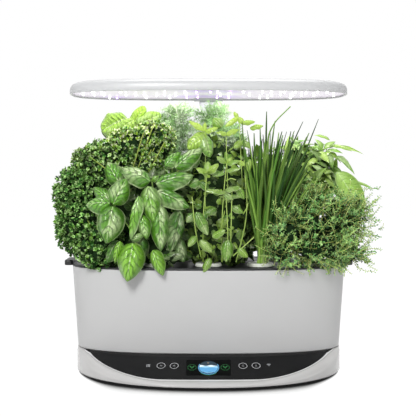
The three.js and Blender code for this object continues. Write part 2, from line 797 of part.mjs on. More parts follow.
// Bowl with its gauge rod, deck, filling port lid, pump and gauge
function makeBowl() {
  const ring = (angle, halfWidth, halfDepth, z) => [...outline(angle, halfWidth, halfDepth, halfDepth, bowlPower), z];
  const footW = bowlBottomHalfWidth - bowlFootInset;
  const footD = bowlBottomHalfDepth - bowlFootInset;
  const bowlChain = (angle) => [
    [0, 0, bowlSeat + seatGap],
    ring(angle, footW, footD, bowlSeat + seatGap),
    ring(angle, footW, footD, bowlEdge),
    ring(angle, bowlBottomHalfWidth, bowlBottomHalfDepth, bowlEdge),
    ring(angle, bowlRimHalfWidth, bowlRimHalfDepth, bowlRim),
    ring(angle, bowlRimHalfWidth - bowlWall, bowlRimHalfDepth - bowlWall, bowlRim),
    ring(angle, bowlBottomHalfWidth - bowlWall, bowlBottomHalfDepth - bowlWall, bowlEdge + bowlWall),
    ring(angle, footW - bowlWall, footD - bowlWall, bowlFloor),
    [0, 0, bowlFloor],
  ];
  const rod = drum(-gaugeAside, gaugeBack, bowlFloor - bowlWall / 2, bowlFloor + gaugeRodLength, gaugeRodRadius);
  addPiece("grow_bowl", join(ringSolid(bowlChain), rod), colors.bowlGrey, 0.4);

  const floatZ = bowlFloor + seatGap;
  const gauge = cut(
    drum(-gaugeAside, gaugeBack, floatZ, floatZ + floatHeight, floatRadius),
    drum(-gaugeAside, gaugeBack, floatZ - overrun, floatZ + floatHeight + overrun, gaugeRodRadius + slideGap),
  );
  addPiece("level_float", gauge, 0xd8892b, 0.6);

  const skirtW = bowlRimHalfWidth - bowlWall - 2 * slideGap;
  const skirtD = bowlRimHalfDepth - bowlWall - 2 * slideGap;
  const beadW = bowlRimHalfWidth + deckOverhang;
  const beadD = bowlRimHalfDepth + deckOverhang;
  const skirtBottom = deckEdge - deckSkirt;
  const deckChain = (angle) => [
    [0, 0, deckUnder],
    ring(angle, skirtW - deckSkirtWall, skirtD - deckSkirtWall, deckUnder),
    ring(angle, skirtW - deckSkirtWall, skirtD - deckSkirtWall, skirtBottom),
    ring(angle, skirtW, skirtD, skirtBottom),
    ring(angle, skirtW, skirtD, deckEdge),
    ring(angle, beadW, beadD, deckEdge),
    ring(angle, beadW, beadD, deckEdge + deckBead),
    ring(angle, beadW - deckBeadWidth, beadD - deckBeadWidth, deckEdge + deckBead),
    ring(angle, beadW - deckBeadWidth, beadD - deckBeadWidth, deckTop),
    [0, 0, deckTop],
  ];
  const lugs = [-1, 1].map((side) => {
    const inner = beadW - deckBeadWidth;
    const width = lugReach + deckBeadWidth;
    return roundedPost(side * (inner + width / 2), 0, width, lugWidth, lugRound, deckEdge, deckEdge + lugHeight);
  });
  const portY0 = portBack - portDepth / 2;
  const portY1 = portBack + portDepth / 2;
  const hingeY = portY1 + lidBorder;
  const lidBottom = deckTop + seatGap;
  const hingeZ = lidBottom + hingeRadius + seatGap;
  const lidHalf = portWidth / 2 + lidBorder;
  const rodAcross = (radius, half) => {
    const round = new THREE.CylinderGeometry(radius, radius, 2 * half, podSegments);
    round.rotateZ(Math.PI / 2);
    round.translate(0, hingeY, hingeZ);
    return solidFrom(round);
  };
  const earInner = lidHalf + slideGap;
  const ears = [-1, 1].map((side) =>
    block(
      [side < 0 ? -earInner - hingeEar : earInner, hingeY - hingeEar, deckTop - deckThickness / 2],
      [side < 0 ? -earInner : earInner + hingeEar, hingeY + hingeEar, lidBottom + hingeEarHeight],
    ),
  );
  const deck = cut(
    join(ringSolid(deckChain), ...lugs, ...ears),
    ...podPlaces().map(([x, y]) => drum(x, y, deckUnder - overrun, deckTop + overrun, podHoleRadius, podHoleRadius, podSegments)),
    block([-portWidth / 2, portY0, deckUnder - overrun], [portWidth / 2, portY1, deckTop + overrun]),
    rodAcross(hingePinRadius + slideGap, earInner + hingeEar + overrun),
  );
  addPiece("grow_deck", deck, colors.darkPlastic, 0.45);

  const lid = join(
    block([-lidHalf, portY0 - lidBorder, lidBottom], [lidHalf, hingeY, lidBottom + lidThickness]),
    rodAcross(hingeRadius, lidHalf),
    rodAcross(hingePinRadius, earInner + hingeEar - slideGap),
  );
  addPiece("fill_port_lid", lid, colors.darkPlastic, 0.45);
}

function podPlaces() {
  const front = [-2, -1, 0, 1, 2].map((i) => [i * podSpacing, -podRowDepth + (Math.abs(i) === 2 ? outerPodSetback : 0)]);
  const back = [-1.5, -0.5, 0.5, 1.5].map((i) => [i * podSpacing, podBackRow]);
  return [...front, ...back];
}

function makePump() {
  const z0 = bowlFloor + seatGap;
  const chamberZ = z0 + chamberFloor;
  const top = z0 + pumpHeight;
  const riserX = pumpAside + riserAside;
  const housing = join(
    cut(
      drum(pumpAside, pumpBack, z0, top, pumpRadius, pumpRadius, 20),
      drum(pumpAside, pumpBack, chamberZ, chamberZ + chamberHeight, chamberRadius, chamberRadius, 20),
      block([pumpAside - pumpRadius - overrun, pumpBack - inletWidth / 2, chamberZ], [pumpAside, pumpBack + inletWidth / 2, chamberZ + chamberHeight]),
      drum(riserX, pumpBack, chamberZ, top + overrun, riserBore),
    ),
    drum(pumpAside, pumpBack, chamberZ - chamberFloor / 2, chamberZ + chamberHeight + chamberFloor / 2, spindleRadius),
  );
  addPiece("pump_housing", housing, colors.darkPlastic, 0.5);

  const discZ = chamberZ + seatGap;
  const bladeTop = chamberZ + chamberHeight - 2 * seatGap;
  const blades = [];
  for (let i = 0; i < bladeCount; i++) {
    const blade = new THREE.BoxGeometry(impellerRadius - seatGap, bladeThickness, bladeTop - discZ - seatGap);
    blade.translate(impellerRadius / 2, 0, (bladeTop + discZ) / 2);
    blade.rotateZ((2 * Math.PI * i) / bladeCount);
    blade.translate(pumpAside, pumpBack, 0);
    blades.push(solidFrom(blade));
  }
  const impeller = cut(
    join(
      drum(pumpAside, pumpBack, discZ, discZ + impellerDisc, impellerRadius, impellerRadius, 20),
      drum(pumpAside, pumpBack, discZ, bladeTop, impellerHub),
      ...blades,
    ),
    drum(pumpAside, pumpBack, discZ - overrun, bladeTop + overrun, spindleRadius + slideGap),
  );
  addPiece("pump_impeller", impeller, colors.hoodWhite, 0.5);

  const riser = cut(
    drum(riserX, pumpBack, top + seatGap, deckUnder - seatGap, riserRadius),
    drum(riserX, pumpBack, top - overrun, deckUnder + overrun, riserBore),
  );
  addPiece("riser_tube", riser, colors.clear, 0.3);

  const filterX = pumpAside - pumpRadius - seatGap;
  const filter = block(
    [filterX - filterThickness, pumpBack - inletWidth, z0],
    [filterX, pumpBack + inletWidth, z0 + filterHeight],
  );
  addPiece("pump_filter", filter, 0x30343a, 0.9);
}

// Pods: a slotted basket with a collar, and the grow sponge inside it
function makePods(names) {
  const bottom = podSeat - podLength;
  const neck = podHoleRadius - slideGap;
  podPlaces().forEach(([x, y], i) => {
    const basket = turned(x, y, [
      [0, bottom],
      [podBottomRadius, bottom],
      [neck, podSeat],
      [podCollarRadius, podSeat],
      [podCollarRadius, podSeat + podCollarStep],
      [podCollarTop, podTop],
      [podMouthRadius, podTop],
      [podMouthRadius, podTop - podWall],
      [neck - podWall, podSeat + podCollarStep],
      [podBottomRadius - podWall, bottom + podWall],
      [0, bottom + podWall],
    ]);
    const slotZ = bottom + 2 * podWall;
    const slots = [
      block([x - podCollarRadius, y - podSlotWidth / 2, slotZ], [x + podCollarRadius, y + podSlotWidth / 2, slotZ + podSlotLength]),
      block([x - podSlotWidth / 2, y - podCollarRadius, slotZ], [x + podSlotWidth / 2, y + podCollarRadius, slotZ + podSlotLength]),
    ];
    addPiece(`pod_basket_${names[i]}`, cut(basket, ...slots), colors.pod, 0.4);
    const sponge = drum(
      x,
      y,
      bottom + podWall + seatGap,
      crownHeight - seatGap,
      podBottomRadius - podWall - spongeInset,
      neck - podWall - spongeInset,
      podSegments,
    );
    addPiece(`grow_sponge_${names[i]}`, sponge, colors.sponge, 0.95);
  });
}

// Plants. Places in these tables are shares: across and back in pod spacings from the middle of the bowl,
// up in canopy heights above the pod mouths.
function canopyPoint([across, back, up]) {
  return new THREE.Vector3(across * podSpacing, back * podSpacing, crownHeight + up * canopyHeight);
}

// A tapering stem through points, closed at both ends.
function stemSolid(points, fromRadius, toRadius, sides = 5) {
  const rings = points.map((point, i) => {
    const ahead = points[Math.min(i + 1, points.length - 1)].clone().sub(points[Math.max(i - 1, 0)]).normalize();
    const side = new THREE.Vector3(1, 0, 0).cross(ahead);
    if (side.length() < 0.2) side.set(0, 1, 0);
    side.normalize();
    const other = ahead.clone().cross(side);
    const radius = THREE.MathUtils.lerp(fromRadius, toRadius, i / (points.length - 1));
    return Array.from({ length: sides }, (_, k) => {
      const turn = (2 * Math.PI * k) / sides;
      return point.clone().addScaledVector(side, radius * Math.cos(turn)).addScaledVector(other, radius * Math.sin(turn));
    });
  });
  return hullRings(rings);
}

// A closed surface over rings of points, with a fan over the first and the last ring.
function hullRings(rings) {
  const sides = rings[0].length;
  const points = rings.flat();
  const triangles = [];
  for (let i = 0; i + 1 < rings.length; i++) {
    for (let k = 0; k < sides; k++) {
      const next = (k + 1) % sides;
      const [a, b] = [i * sides + k, i * sides + next];
      triangles.push([a, b, b + sides], [a, b + sides, a + sides]);
    }
  }
  const last = (rings.length - 1) * sides;
  for (let k = 1; k + 1 < sides; k++) {
    triangles.push([0, k + 1, k], [last, last + k, last + k + 1]);
  }
  return closedSolid(points.flatMap((p) => [p.x, p.y, p.z]), triangles);
}

// A leaf from its base to its tip: how wide it is, and how far its middle arches up, are shares of its length.
const leafOutlineShares = [
  [0, 0.14],
  [0.45, 1],
  [1, 0.08],
];

function leafSolid(base, tip, widthShare, archShare) {
  const along = tip.clone().sub(base);
  const length = along.length();
  const across = new THREE.Vector3(0, 0, 1).cross(along);
  if (across.length() < 0.3 * length) across.set(length, 0, 0).addScaledVector(along, -along.x / length);
  across.normalize();
  const normal = along.clone().cross(across).normalize();
  if (normal.z < 0) normal.negate();
  const rings = leafOutlineShares.map(([share, spread]) => {
    const arch = 4 * share * (1 - share) * archShare * length;
    const centre = base.clone().addScaledVector(along, share).addScaledVector(normal, arch);
    const half = (spread * widthShare * length) / 2;
    return [
      centre.clone().addScaledVector(across, half),
      centre.clone().addScaledVector(normal, leafThickness / 2),
      centre.clone().addScaledVector(across, -half),
      centre.clone().addScaledVector(normal, -leafThickness / 2),
    ];
  });
  return hullRings(rings);
}

// A bushy lump, its surface rippled by a fixed wave.
function lumpSolid([across, back, up, wide, deep, tall]) {
  const ball = new THREE.IcosahedronGeometry(1, 1);
  const place = ball.attributes.position;
  const centre = canopyPoint([across, back, up]);
  for (let i = 0; i < place.count; i++) {
    const [x, y, z] = [place.getX(i), place.getY(i), place.getZ(i)];
    const ripple = 1 - 0.07 * (1 + Math.sin(7 * x + 5 * z) * Math.cos(6 * y - 4 * x));
    place.setXYZ(
      i,
      centre.x + x * ripple * wide * podSpacing,
      centre.y + y * ripple * deep * podSpacing,
      centre.z + z * ripple * tall * canopyHeight,
    );
  }
  return solidFrom(ball);
}

// A point part of the way along a path, each leg of which counts alike.
function alongPath(path, share) {
  const place = share * (path.length - 1);
  const leg = Math.min(Math.floor(place), path.length - 2);
  return path[leg].clone().lerp(path[leg + 1], place - leg);
}

// A sprig: a stem through a path, with leaves in pairs that turn and shrink up it, and one leaf at its top.
function sprigSolids(neck, [path, pairs, size, width, turn]) {
  const points = [neck, ...path.map(canopyPoint)];
  const solids = [stemSolid(points, 2 * stemRadius, stemRadius)];
  for (let i = 0; i < pairs; i++) {
    const share = 1 - (0.62 * i) / pairs;
    const node = alongPath(points, share);
    const length = size * podSpacing * (1.35 - 0.35 * share);
    for (const side of [0, Math.PI]) {
      const angle = turn + side + 1.9 * i;
      const tip = new THREE.Vector3(Math.cos(angle), Math.sin(angle), 0.12).multiplyScalar(length).add(node);
      solids.push(leafSolid(node, tip, width, 0.14));
    }
  }
  return solids;
}

// A blade of grass from the crown, bent outwards on its way up.
function bladeSolid(foot, [lean, depth], tip) {
  const start = new THREE.Vector3(lean * crownRadius, depth * crownRadius, podTop - crownHeight).add(foot);
  const end = canopyPoint(tip);
  const middle = start.clone().lerp(end, 0.5);
  middle.x += (start.x - end.x) * 0.12;
  return stemSolid([start, middle, end], bladeRadius, bladeRadius / 2, 3);
}

function plantSolid(pod, { sprigs = [], leaves = [], lumps = [], blades = [] }) {
  const [x, y] = podPlaces()[pod];
  const foot = new THREE.Vector3(x, y, crownHeight);
  const neck = new THREE.Vector3(x, y, podTop + crownRadius);
  const whole = join(
    drum(x, y, crownHeight, podTop + 2 * crownRadius, crownRadius, stemRadius * 2, 8),
    ...sprigs.flatMap((sprig) => sprigSolids(neck, sprig)),
    ...leaves.map(([from, to, width, arch]) => leafSolid(canopyPoint(from), canopyPoint(to), width, arch)),
    ...blades.map(([spread, tip]) => bladeSolid(foot, spread, tip)),
    ...lumps.map(lumpSolid),
  );
  // Pockets that leaves and lumps close in between them are filled.
  return join(...whole.decompose().filter((body) => body.volume() > 0));
}

const parsleyShares = {
  lumps: [
    [-2.26, -0.38, 0.225, 0.68, 0.5, 0.2],
    [-2.42, -0.16, 0.42, 0.6, 0.6, 0.195],
    [-2.1, -0.2, 0.585, 0.58, 0.52, 0.165],
    [-1.6, -0.14, 0.69, 0.46, 0.32, 0.135],
    [-1.1, -0.12, 0.745, 0.45, 0.28, 0.125],
    [-2.62, 0.28, 0.26, 0.45, 0.48, 0.165],
    [-1.96, -0.5, 0.165, 0.5, 0.4, 0.13],
  ],
};

const thymeShares = {
  lumps: [
    [2.0, -0.66, 0.23, 0.66, 0.52, 0.2],
    [2.56, -0.52, 0.24, 0.62, 0.56, 0.19],
    [3.0, -0.4, 0.3, 0.46, 0.5, 0.16],
    [1.62, -1.04, 0.2, 0.42, 0.29, 0.155],
    [2.2, -0.42, 0.42, 0.56, 0.42, 0.145],
    [2.64, -0.28, 0.4, 0.46, 0.44, 0.13],
  ],
};

const leftDillShares = {
  sprigs: [[[[-0.55, 0.57, 0.3], [-0.6, 0.6, 0.7]], 0, 0, 0, 0]],
  lumps: [
    [-0.66, 0.6, 0.83, 0.37, 0.36, 0.14],
    [-0.74, 0.52, 0.7, 0.28, 0.26, 0.1],
    [-0.52, 0.6, 0.66, 0.32, 0.32, 0.13],
  ],
};

const rightDillShares = {
  sprigs: [[[[0.45, 0.57, 0.3], [0.25, 0.6, 0.7]], 0, 0, 0, 0]],
  lumps: [
    [0.07, 0.66, 0.88, 0.42, 0.34, 0.12],
    [0.36, 0.6, 0.76, 0.32, 0.3, 0.12],
    [0.42, 0.56, 0.52, 0.24, 0.26, 0.12],
  ],
};

// Sprigs: the stem's path, how many pairs of leaves, their length, their width, and how they are turned
const broadBasilShares = {
  sprigs: [[[[-1.6, 0.58, 0.4], [-1.62, 0.56, 0.88]], 3, 0.42, 0.8, 1.2]],
  leaves: [
    [[-1.62, 0.56, 0.88], [-2.2, 0.5, 0.8], 0.8, 0.22],
    [[-1.62, 0.56, 0.88], [-1.3, 0.6, 0.975], 0.6, 0.1],
    [[-1.62, 0.56, 0.88], [-1.2, 0.3, 0.84], 0.7, 0.18],
    [[-1.62, 0.56, 0.88], [-1.7, 1.05, 0.82], 0.7, 0.18],
  ],
  lumps: [
    [-1.6, 0.6, 0.86, 0.42, 0.38, 0.06],
    [-1.6, 0.58, 0.62, 0.3, 0.3, 0.08],
  ],
};

const basilShares = {
  sprigs: [
    [[[-1.05, -0.72, 0.3], [-1.05, -0.82, 0.5]], 1, 0.4, 0.6, 1.5],
    [[[-1.35, -0.95, 0.2], [-1.82, -1.24, 0.4]], 1, 0.4, 0.6, 0.9],
    [[[-0.92, -0.66, 0.4], [-0.8, -0.7, 0.66]], 2, 0.36, 0.7, 0.9],
  ],
  leaves: [
    [[-1.05, -0.82, 0.5], [-1.62, -1.1, 0.56], 0.62, 0.2],
    [[-1.05, -0.82, 0.5], [-0.38, -1.14, 0.55], 0.5, 0.2],
    [[-1.05, -0.82, 0.5], [-1.8, -1.3, 0.44], 0.5, 0.2],
    [[-1.05, -0.82, 0.5], [-1.08, -1.42, 0.29], 0.5, 0.16],
    [[-1.05, -0.82, 0.5], [-0.4, -1.2, 0.36], 0.55, 0.16],
    [[-1.82, -1.24, 0.4], [-2.25, -1.42, 0.44], 0.75, 0.16],
    [[-1.82, -1.24, 0.4], [-1.9, -1.5, 0.18], 0.75, 0.14],
    [[-1.82, -1.24, 0.4], [-1.48, -1.46, 0.2], 0.42, 0.12],
    [[-1.05, -0.72, 0.3], [-0.8, -1.3, 0.12], 0.5, 0.12],
    [[-1.05, -0.72, 0.3], [-0.5, -1.26, 0.1], 0.52, 0.12],
    [[-1.05, -0.72, 0.3], [-1.42, -1.5, 0.0], 0.5, 0.1],
  ],
  lumps: [
    [-1.05, -1.06, 0.42, 0.44, 0.24, 0.09],
    [-1.78, -1.26, 0.34, 0.36, 0.24, 0.11],
    [-0.86, -1.08, 0.24, 0.44, 0.24, 0.12],
    [-1.34, -1.18, 0.2, 0.36, 0.22, 0.12],
  ],
};

const mintShares = {
  sprigs: [
    [[[-0.1, -0.66, 0.4], [-0.1, -0.6, 0.84]], 3, 0.34, 0.6, 0.4],
    [[[0.24, -0.62, 0.4], [0.34, -0.6, 0.82]], 2, 0.3, 0.6, 1.1],
    [[[0.36, -0.5, 0.4], [0.55, -0.46, 0.9]], 2, 0.24, 0.6, 0.2],
    [[[0.08, -0.82, 0.3], [0.1, -0.9, 0.57]], 3, 0.3, 0.6, 0.9],
  ],
  lumps: [
    [-0.1, -0.62, 0.82, 0.22, 0.2, 0.06],
    [0.34, -0.62, 0.8, 0.18, 0.18, 0.05],
    [0.1, -0.88, 0.5, 0.2, 0.18, 0.06],
  ],
};

// Chive blades: where each starts within the crown, and where it ends
function chiveShares() {
  const rows = 20;
  const blades = [];
  for (let i = 0; i < rows; i++) {
    const turn = i * 2.4;
    const spread = Math.sqrt((i + 0.5) / rows);
    const lean = Math.cos(turn) * spread;
    const depth = Math.sin(turn) * spread;
    const up = 0.93 - 0.24 * Math.abs(lean) - 0.12 * ((i * 7) % 5) / 5;
    const tip = [1.22 + 0.7 * lean + 0.08 * up, -0.55 + 0.24 * depth, up];
    blades.push([[lean * 0.9, depth * 0.9], tip]);
  }
  return { blades };
}

const thaiBasilShares = {
  sprigs: [
    [[[1.8, 0.58, 0.35], [2.4, 0.6, 0.72], [2.85, 0.6, 0.74]], 2, 0.36, 0.44, 1.1],
    [[[1.7, 0.62, 0.25], [2.3, 0.66, 0.46]], 2, 0.4, 0.5, 1.4],
  ],
  leaves: [
    [[2.85, 0.6, 0.74], [3.2, 0.56, 0.68], 0.32, 0.16],
    [[2.85, 0.6, 0.74], [2.75, 0.4, 0.82], 0.4, 0.1],
    [[2.4, 0.6, 0.72], [2.2, 0.35, 0.8], 0.42, 0.12],
    [[2.4, 0.6, 0.72], [2.1, 0.8, 0.76], 0.42, 0.12],
    [[2.85, 0.6, 0.74], [3.05, 0.5, 0.54], 0.36, 0.12],
    [[2.3, 0.66, 0.46], [3.15, 0.62, 0.4], 0.5, 0.26],
  ],
  lumps: [
    [2.34, 0.62, 0.72, 0.3, 0.26, 0.05],
    [2.44, 0.62, 0.47, 0.34, 0.28, 0.07],
    [1.95, 0.62, 0.4, 0.26, 0.24, 0.08],
  ],
};

const greens = {
  parsley: 0x3f6f28,
  basil: 0x5c9a35,
  mint: 0x6fa038,
  chives: 0x4f8138,
  thyme: 0x56824a,
  broadBasil: 0x86b63c,
  dill: 0x6faa80,
  thaiBasil: 0x5f9a48,
};

const plants = [
  ["parsley", parsleyShares, greens.parsley],
  ["basil", basilShares, greens.basil],
  ["mint", mintShares, greens.mint],
  ["chives", chiveShares(), greens.chives],
  ["thyme", thymeShares, greens.thyme],
  ["broad_basil", broadBasilShares, greens.broadBasil],
  ["dill_left", leftDillShares, greens.dill],
  ["dill_right", rightDillShares, greens.dill],
  ["thai_basil", thaiBasilShares, greens.thaiBasil],
];

function makePlants() {
  plants.forEach(([name, shares, color], pod) => {
    addPiece(`${name}_plant`, plantSolid(pod, shares), color, 0.7);
  });
}

makeBase();
makeArm();
makeHood();
makeBowl();
makePump();
makePods(plants.map(([name]) => name));
makePlants();

export default garden;
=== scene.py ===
"""Countertop hydroponic garden: shells, control panel, lamp and herbs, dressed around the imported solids."""

import math

import bmesh
import bpy
import numpy as np
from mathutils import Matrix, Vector


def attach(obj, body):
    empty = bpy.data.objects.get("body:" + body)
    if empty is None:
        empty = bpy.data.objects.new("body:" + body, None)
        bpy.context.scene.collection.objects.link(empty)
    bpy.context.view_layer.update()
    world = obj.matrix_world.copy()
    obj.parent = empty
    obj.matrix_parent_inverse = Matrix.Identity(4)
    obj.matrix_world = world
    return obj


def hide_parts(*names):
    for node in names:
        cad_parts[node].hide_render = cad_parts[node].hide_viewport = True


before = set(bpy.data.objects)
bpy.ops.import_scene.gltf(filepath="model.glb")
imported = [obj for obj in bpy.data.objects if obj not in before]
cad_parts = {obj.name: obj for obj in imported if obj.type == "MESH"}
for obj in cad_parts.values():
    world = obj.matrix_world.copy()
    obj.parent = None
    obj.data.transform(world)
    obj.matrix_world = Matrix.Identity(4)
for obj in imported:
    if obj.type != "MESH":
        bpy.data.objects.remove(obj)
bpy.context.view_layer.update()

bl_info = {
    "name": "Countertop Garden",
    "version": (1, 0, 0),
    "blender": (4, 5, 0),
    "location": "View3D > Sidebar > Garden",
    "description": "Dresses a countertop hydroponic garden around its packed solids",
    "category": "Object",
}

MM = 0.001
ROOT = "garden"
SENSOR = 36
PICTURE = 416


def vec(*values):
    return np.array(values)


def linear(code):
    """A colour written as six hex digits, in the linear values that the shaders take."""
    shares = [int(code[i : i + 2], 16) / 255 for i in (0, 2, 4)]
    return tuple(c / 12.92 if c <= 0.04045 else ((c + 0.055) / 1.055) ** 2.4 for c in shares)


def colour_setting(name, description, code):
    return bpy.props.FloatVectorProperty(
        name=name, description=description, subtype="COLOR", size=3, min=0, max=1, default=linear(code)
    )


def length_setting(name, description, millimetres):
    return bpy.props.FloatProperty(
        name=name, description=description, subtype="DISTANCE", unit="LENGTH", default=millimetres * MM
    )


def number_setting(name, description, value, low=0.0, high=10.0):
    return bpy.props.FloatProperty(name=name, description=description, default=value, min=low, max=high)


# Settings


class GardenShellSettings(bpy.types.PropertyGroup):
    base_half_width: length_setting("Base half width", "Half the width of the base", 197)
    base_front: length_setting("Base front", "How far the base reaches forward", 147)
    base_rear: length_setting("Base rear", "How far the base reaches back", 139)
    base_height: length_setting("Base height", "Height of the base's top", 35)
    bowl_bottom_half_width: length_setting("Bowl bottom half width", "Half the width of the bowl's bottom edge", 196.3)
    bowl_bottom_half_depth: length_setting("Bowl bottom half depth", "Half the depth of the bowl's bottom edge", 79.5)
    bowl_rim_half_width: length_setting("Bowl rim half width", "Half the width of the bowl's rim", 204.5)
    bowl_rim_half_depth: length_setting("Bowl rim half depth", "Half the depth of the bowl's rim", 89.5)
    bowl_rim_height: length_setting("Bowl rim height", "Height of the bowl's rim", 155)
    panel_reach: length_setting("Panel reach", "How far the panel comes forward of the bowl", 48)
    shell: colour_setting("Shell", "Moulded shell of the base", "cdcccb")
    bowl: colour_setting("Bowl", "Satin moulded bowl", "c6c6c6")
    deck: colour_setting("Deck", "Black deck and lugs", "1d1e20")
    panel: colour_setting("Panel", "Polished control panel", "0e0f10")
    skirt: colour_setting("Skirt", "Plate that closes the base", "141414")


class GardenLampSettings(bpy.types.PropertyGroup):
    hood_half_width: length_setting("Hood half width", "Half the width of the hood", 211)
    hood_half_depth: length_setting("Hood half depth", "Half the depth of the hood", 96)
    hood_back: length_setting("Hood centre", "How far behind the bowl's middle the hood is centred", 19)
    hood_lip: length_setting("Hood lip", "Height of the hood's lower edge", 412)
    hood_rise: length_setting("Hood rise", "Height of the hood above its lip", 23)
    shell: colour_setting("Hood", "Glossy white shell of the hood", "cbcccd")
    board: colour_setting("LED board", "Pale board that carries the LEDs", "e6dcec")
    purple: colour_setting("Purple glow", "Light of the red and blue LEDs on the board", "b58cf0")
    glow: number_setting("LED strength", "Strength of the LEDs' light", 6.0, 0, 200)


class GardenHerbSettings(bpy.types.PropertyGroup):
    seed: bpy.props.IntProperty(name="Seed", description="Start of the random draws of every plant", default=7)
    parsley: colour_setting("Parsley", "Curled leaves", "2d6c1c")
    basil: colour_setting("Basil", "Large cupped leaves", "529c26")
    mint: colour_setting("Mint", "Toothed leaves in whorls", "529a2c")
    chives: colour_setting("Chives", "Hollow blades", "2f661f")
    thyme: colour_setting("Thyme", "Tiny leaves on wiry stems", "68c452")
    broad: colour_setting("Broad-leaved basil", "Crinkled leaves at the back", "98d24a")
    dill: colour_setting("Dill", "Feathery fronds", "c8fca0")
    long_leaf: colour_setting("Long-leaved basil", "Pointed leaves at the back", "84c444")


class GardenStageSettings(bpy.types.PropertyGroup):
    camera_distance: length_setting("Camera distance", "From the camera to the middle of the garden", 1324)
    camera_height: length_setting("Camera height", "Height of the camera above the floor", 297.6)
    camera_aside: length_setting("Camera aside", "How far the camera stands to the right", -0.8)
    camera_shift: number_setting("Camera shift", "How far the frame is shifted down, in picture widths", 0.0913)
    focal_length: number_setting("Focal length", "In millimetres on a 36 mm sensor", 75.46, 10, 300)
    ambient: number_setting("Ambient", "Strength of the light from all round", 0.36)
    key: number_setting("Key", "Power of the large lamp at the front left", 36.5, 0, 100)
    side: number_setting("Side", "Power of the large lamp at the right", 2.0, 0, 100)
    top: number_setting("Top", "Power of the large lamp above the back", 27.0, 0, 100)
    grow: number_setting("Grow light", "Power of the light that the LED board gives", 0.4, 0, 100)


# Finishes


class Signal:
    """An output socket of a shader node, on which Python's arithmetic adds Math nodes."""

    def __init__(self, nodes, socket):
        self.nodes = nodes
        self.socket = socket

    def maths(self, operation, *values):
        return self.nodes.node("ShaderNodeMath", {"operation": operation}, dict(enumerate(values)))

    def __add__(self, other):
        return self.maths("ADD", self, other)

    __radd__ = __add__

    def __sub__(self, other):
        return self.maths("SUBTRACT", self, other)

    def __rsub__(self, other):
        return self.maths("SUBTRACT", other, self)

    def __mul__(self, other):
        return self.maths("MULTIPLY", self, other)

    __rmul__ = __mul__

    def __pow__(self, other):
        return self.maths("POWER", self, other)

    def size(self):
        return self.maths("ABSOLUTE", self)

    def sine(self):
        return self.maths("SINE", self)

    def clipped(self):
        return self.nodes.node("ShaderNodeClamp", {}, {"Value": self})


def pick(sockets, key):
    """A socket by its number, its identifier or its name."""
    if isinstance(key, int):
        return sockets[key]
    return next(s for s in sockets if key in (s.identifier, s.name) and s.enabled)


class Nodes:
    """A tree of shader nodes."""

    def __init__(self, tree):
        self.tree = tree

    def give(self, socket, value):
        if isinstance(value, Signal):
            self.tree.links.new(value.socket, socket)
        else:
            socket.default_value = (*value, 1) if socket.type == "RGBA" and len(value) == 3 else value

    def node(self, kind, settings=None, inputs=None, output=0):
        """Adds a node: its settings first, then the values or links of its sockets."""
        made = self.tree.nodes.new(kind)
        for name, value in (settings or {}).items():
            setattr(made, name, value)
        for key, value in (inputs or {}).items():
            self.give(pick(made.inputs, key), value)
        return Signal(self, pick(made.outputs, output))

    def parts(self, kind, inputs, *names):
        """Several outputs of one node."""
        made = self.node(kind, {}, inputs, names[0]).socket.node
        return [Signal(self, made.outputs[name]) for name in names]

    def seen(self):
        """1 for what the camera sees, straight or by way of gloss and glass."""
        rays = self.parts("ShaderNodeLightPath", {}, "Is Camera Ray", "Is Glossy Ray", "Is Transmission Ray")
        return rays[0].maths("MAXIMUM", rays[0].maths("MAXIMUM", *rays[:2]), rays[2])

    def mix(self, factor, first, second):
        sockets = {"Factor_Float": factor, "A_Color": first, "B_Color": second}
        return self.node("ShaderNodeMix", {"data_type": "RGBA"}, sockets, "Result_Color")

    def place(self):
        return self.node("ShaderNodeTexCoord", output="Object")

    def leaf_place(self):
        """Across and along a leaf, each from 0 to 1."""
        return self.parts("ShaderNodeSeparateXYZ", {0: self.node("ShaderNodeUVMap", {"uv_map": "leaf"})}, "X", "Y")

    def noise(self, scale, detail, vector=None, roughness=0.5):
        inputs = {"Scale": scale, "Detail": detail, "Roughness": roughness, "Vector": vector or self.place()}
        return self.node("ShaderNodeTexNoise", {}, inputs, "Fac")

    def cells(self, scale):
        inputs = {"Vector": self.place(), "Scale": scale}
        return self.node("ShaderNodeTexVoronoi", {}, inputs, "Distance")

    def carried(self, name):
        """A colour that the mesh carries from point to point."""
        return self.node("ShaderNodeAttribute", {"attribute_name": name}, {}, "Color")

    def tones(self):
        """Chance, youth and shade, as foliage carries them."""
        return self.parts("ShaderNodeSeparateColor", {0: self.carried("tone")}, "Red", "Green", "Blue")

    def bump(self, height, strength, distance):
        inputs = {"Height": height, "Strength": strength, "Distance": distance}
        return self.node("ShaderNodeBump", {}, inputs, "Normal")


class Finish(Nodes):
    """A material, and the nodes that make its finish."""

    def __init__(self, name, **sockets):
        self.material = bpy.data.materials.new(name)
        self.material.use_nodes = True
        super().__init__(self.material.node_tree)
        self.shader = next(n for n in self.tree.nodes if n.type == "BSDF_PRINCIPLED")
        self.surface(**sockets)

    def surface(self, **sockets):
        """Sets or links the shader's sockets, and hands the material back."""
        for name, value in sockets.items():
            self.give(self.shader.inputs[name.replace("_", " ")], value)
        return self.material


def grey(share):
    return (share, share, share)


def scaled(colour, share):
    return tuple(min(c * share, 1) for c in colour)


def blended(first, second, share):
    return tuple(a + (b - a) * share for a, b in zip(first, second))


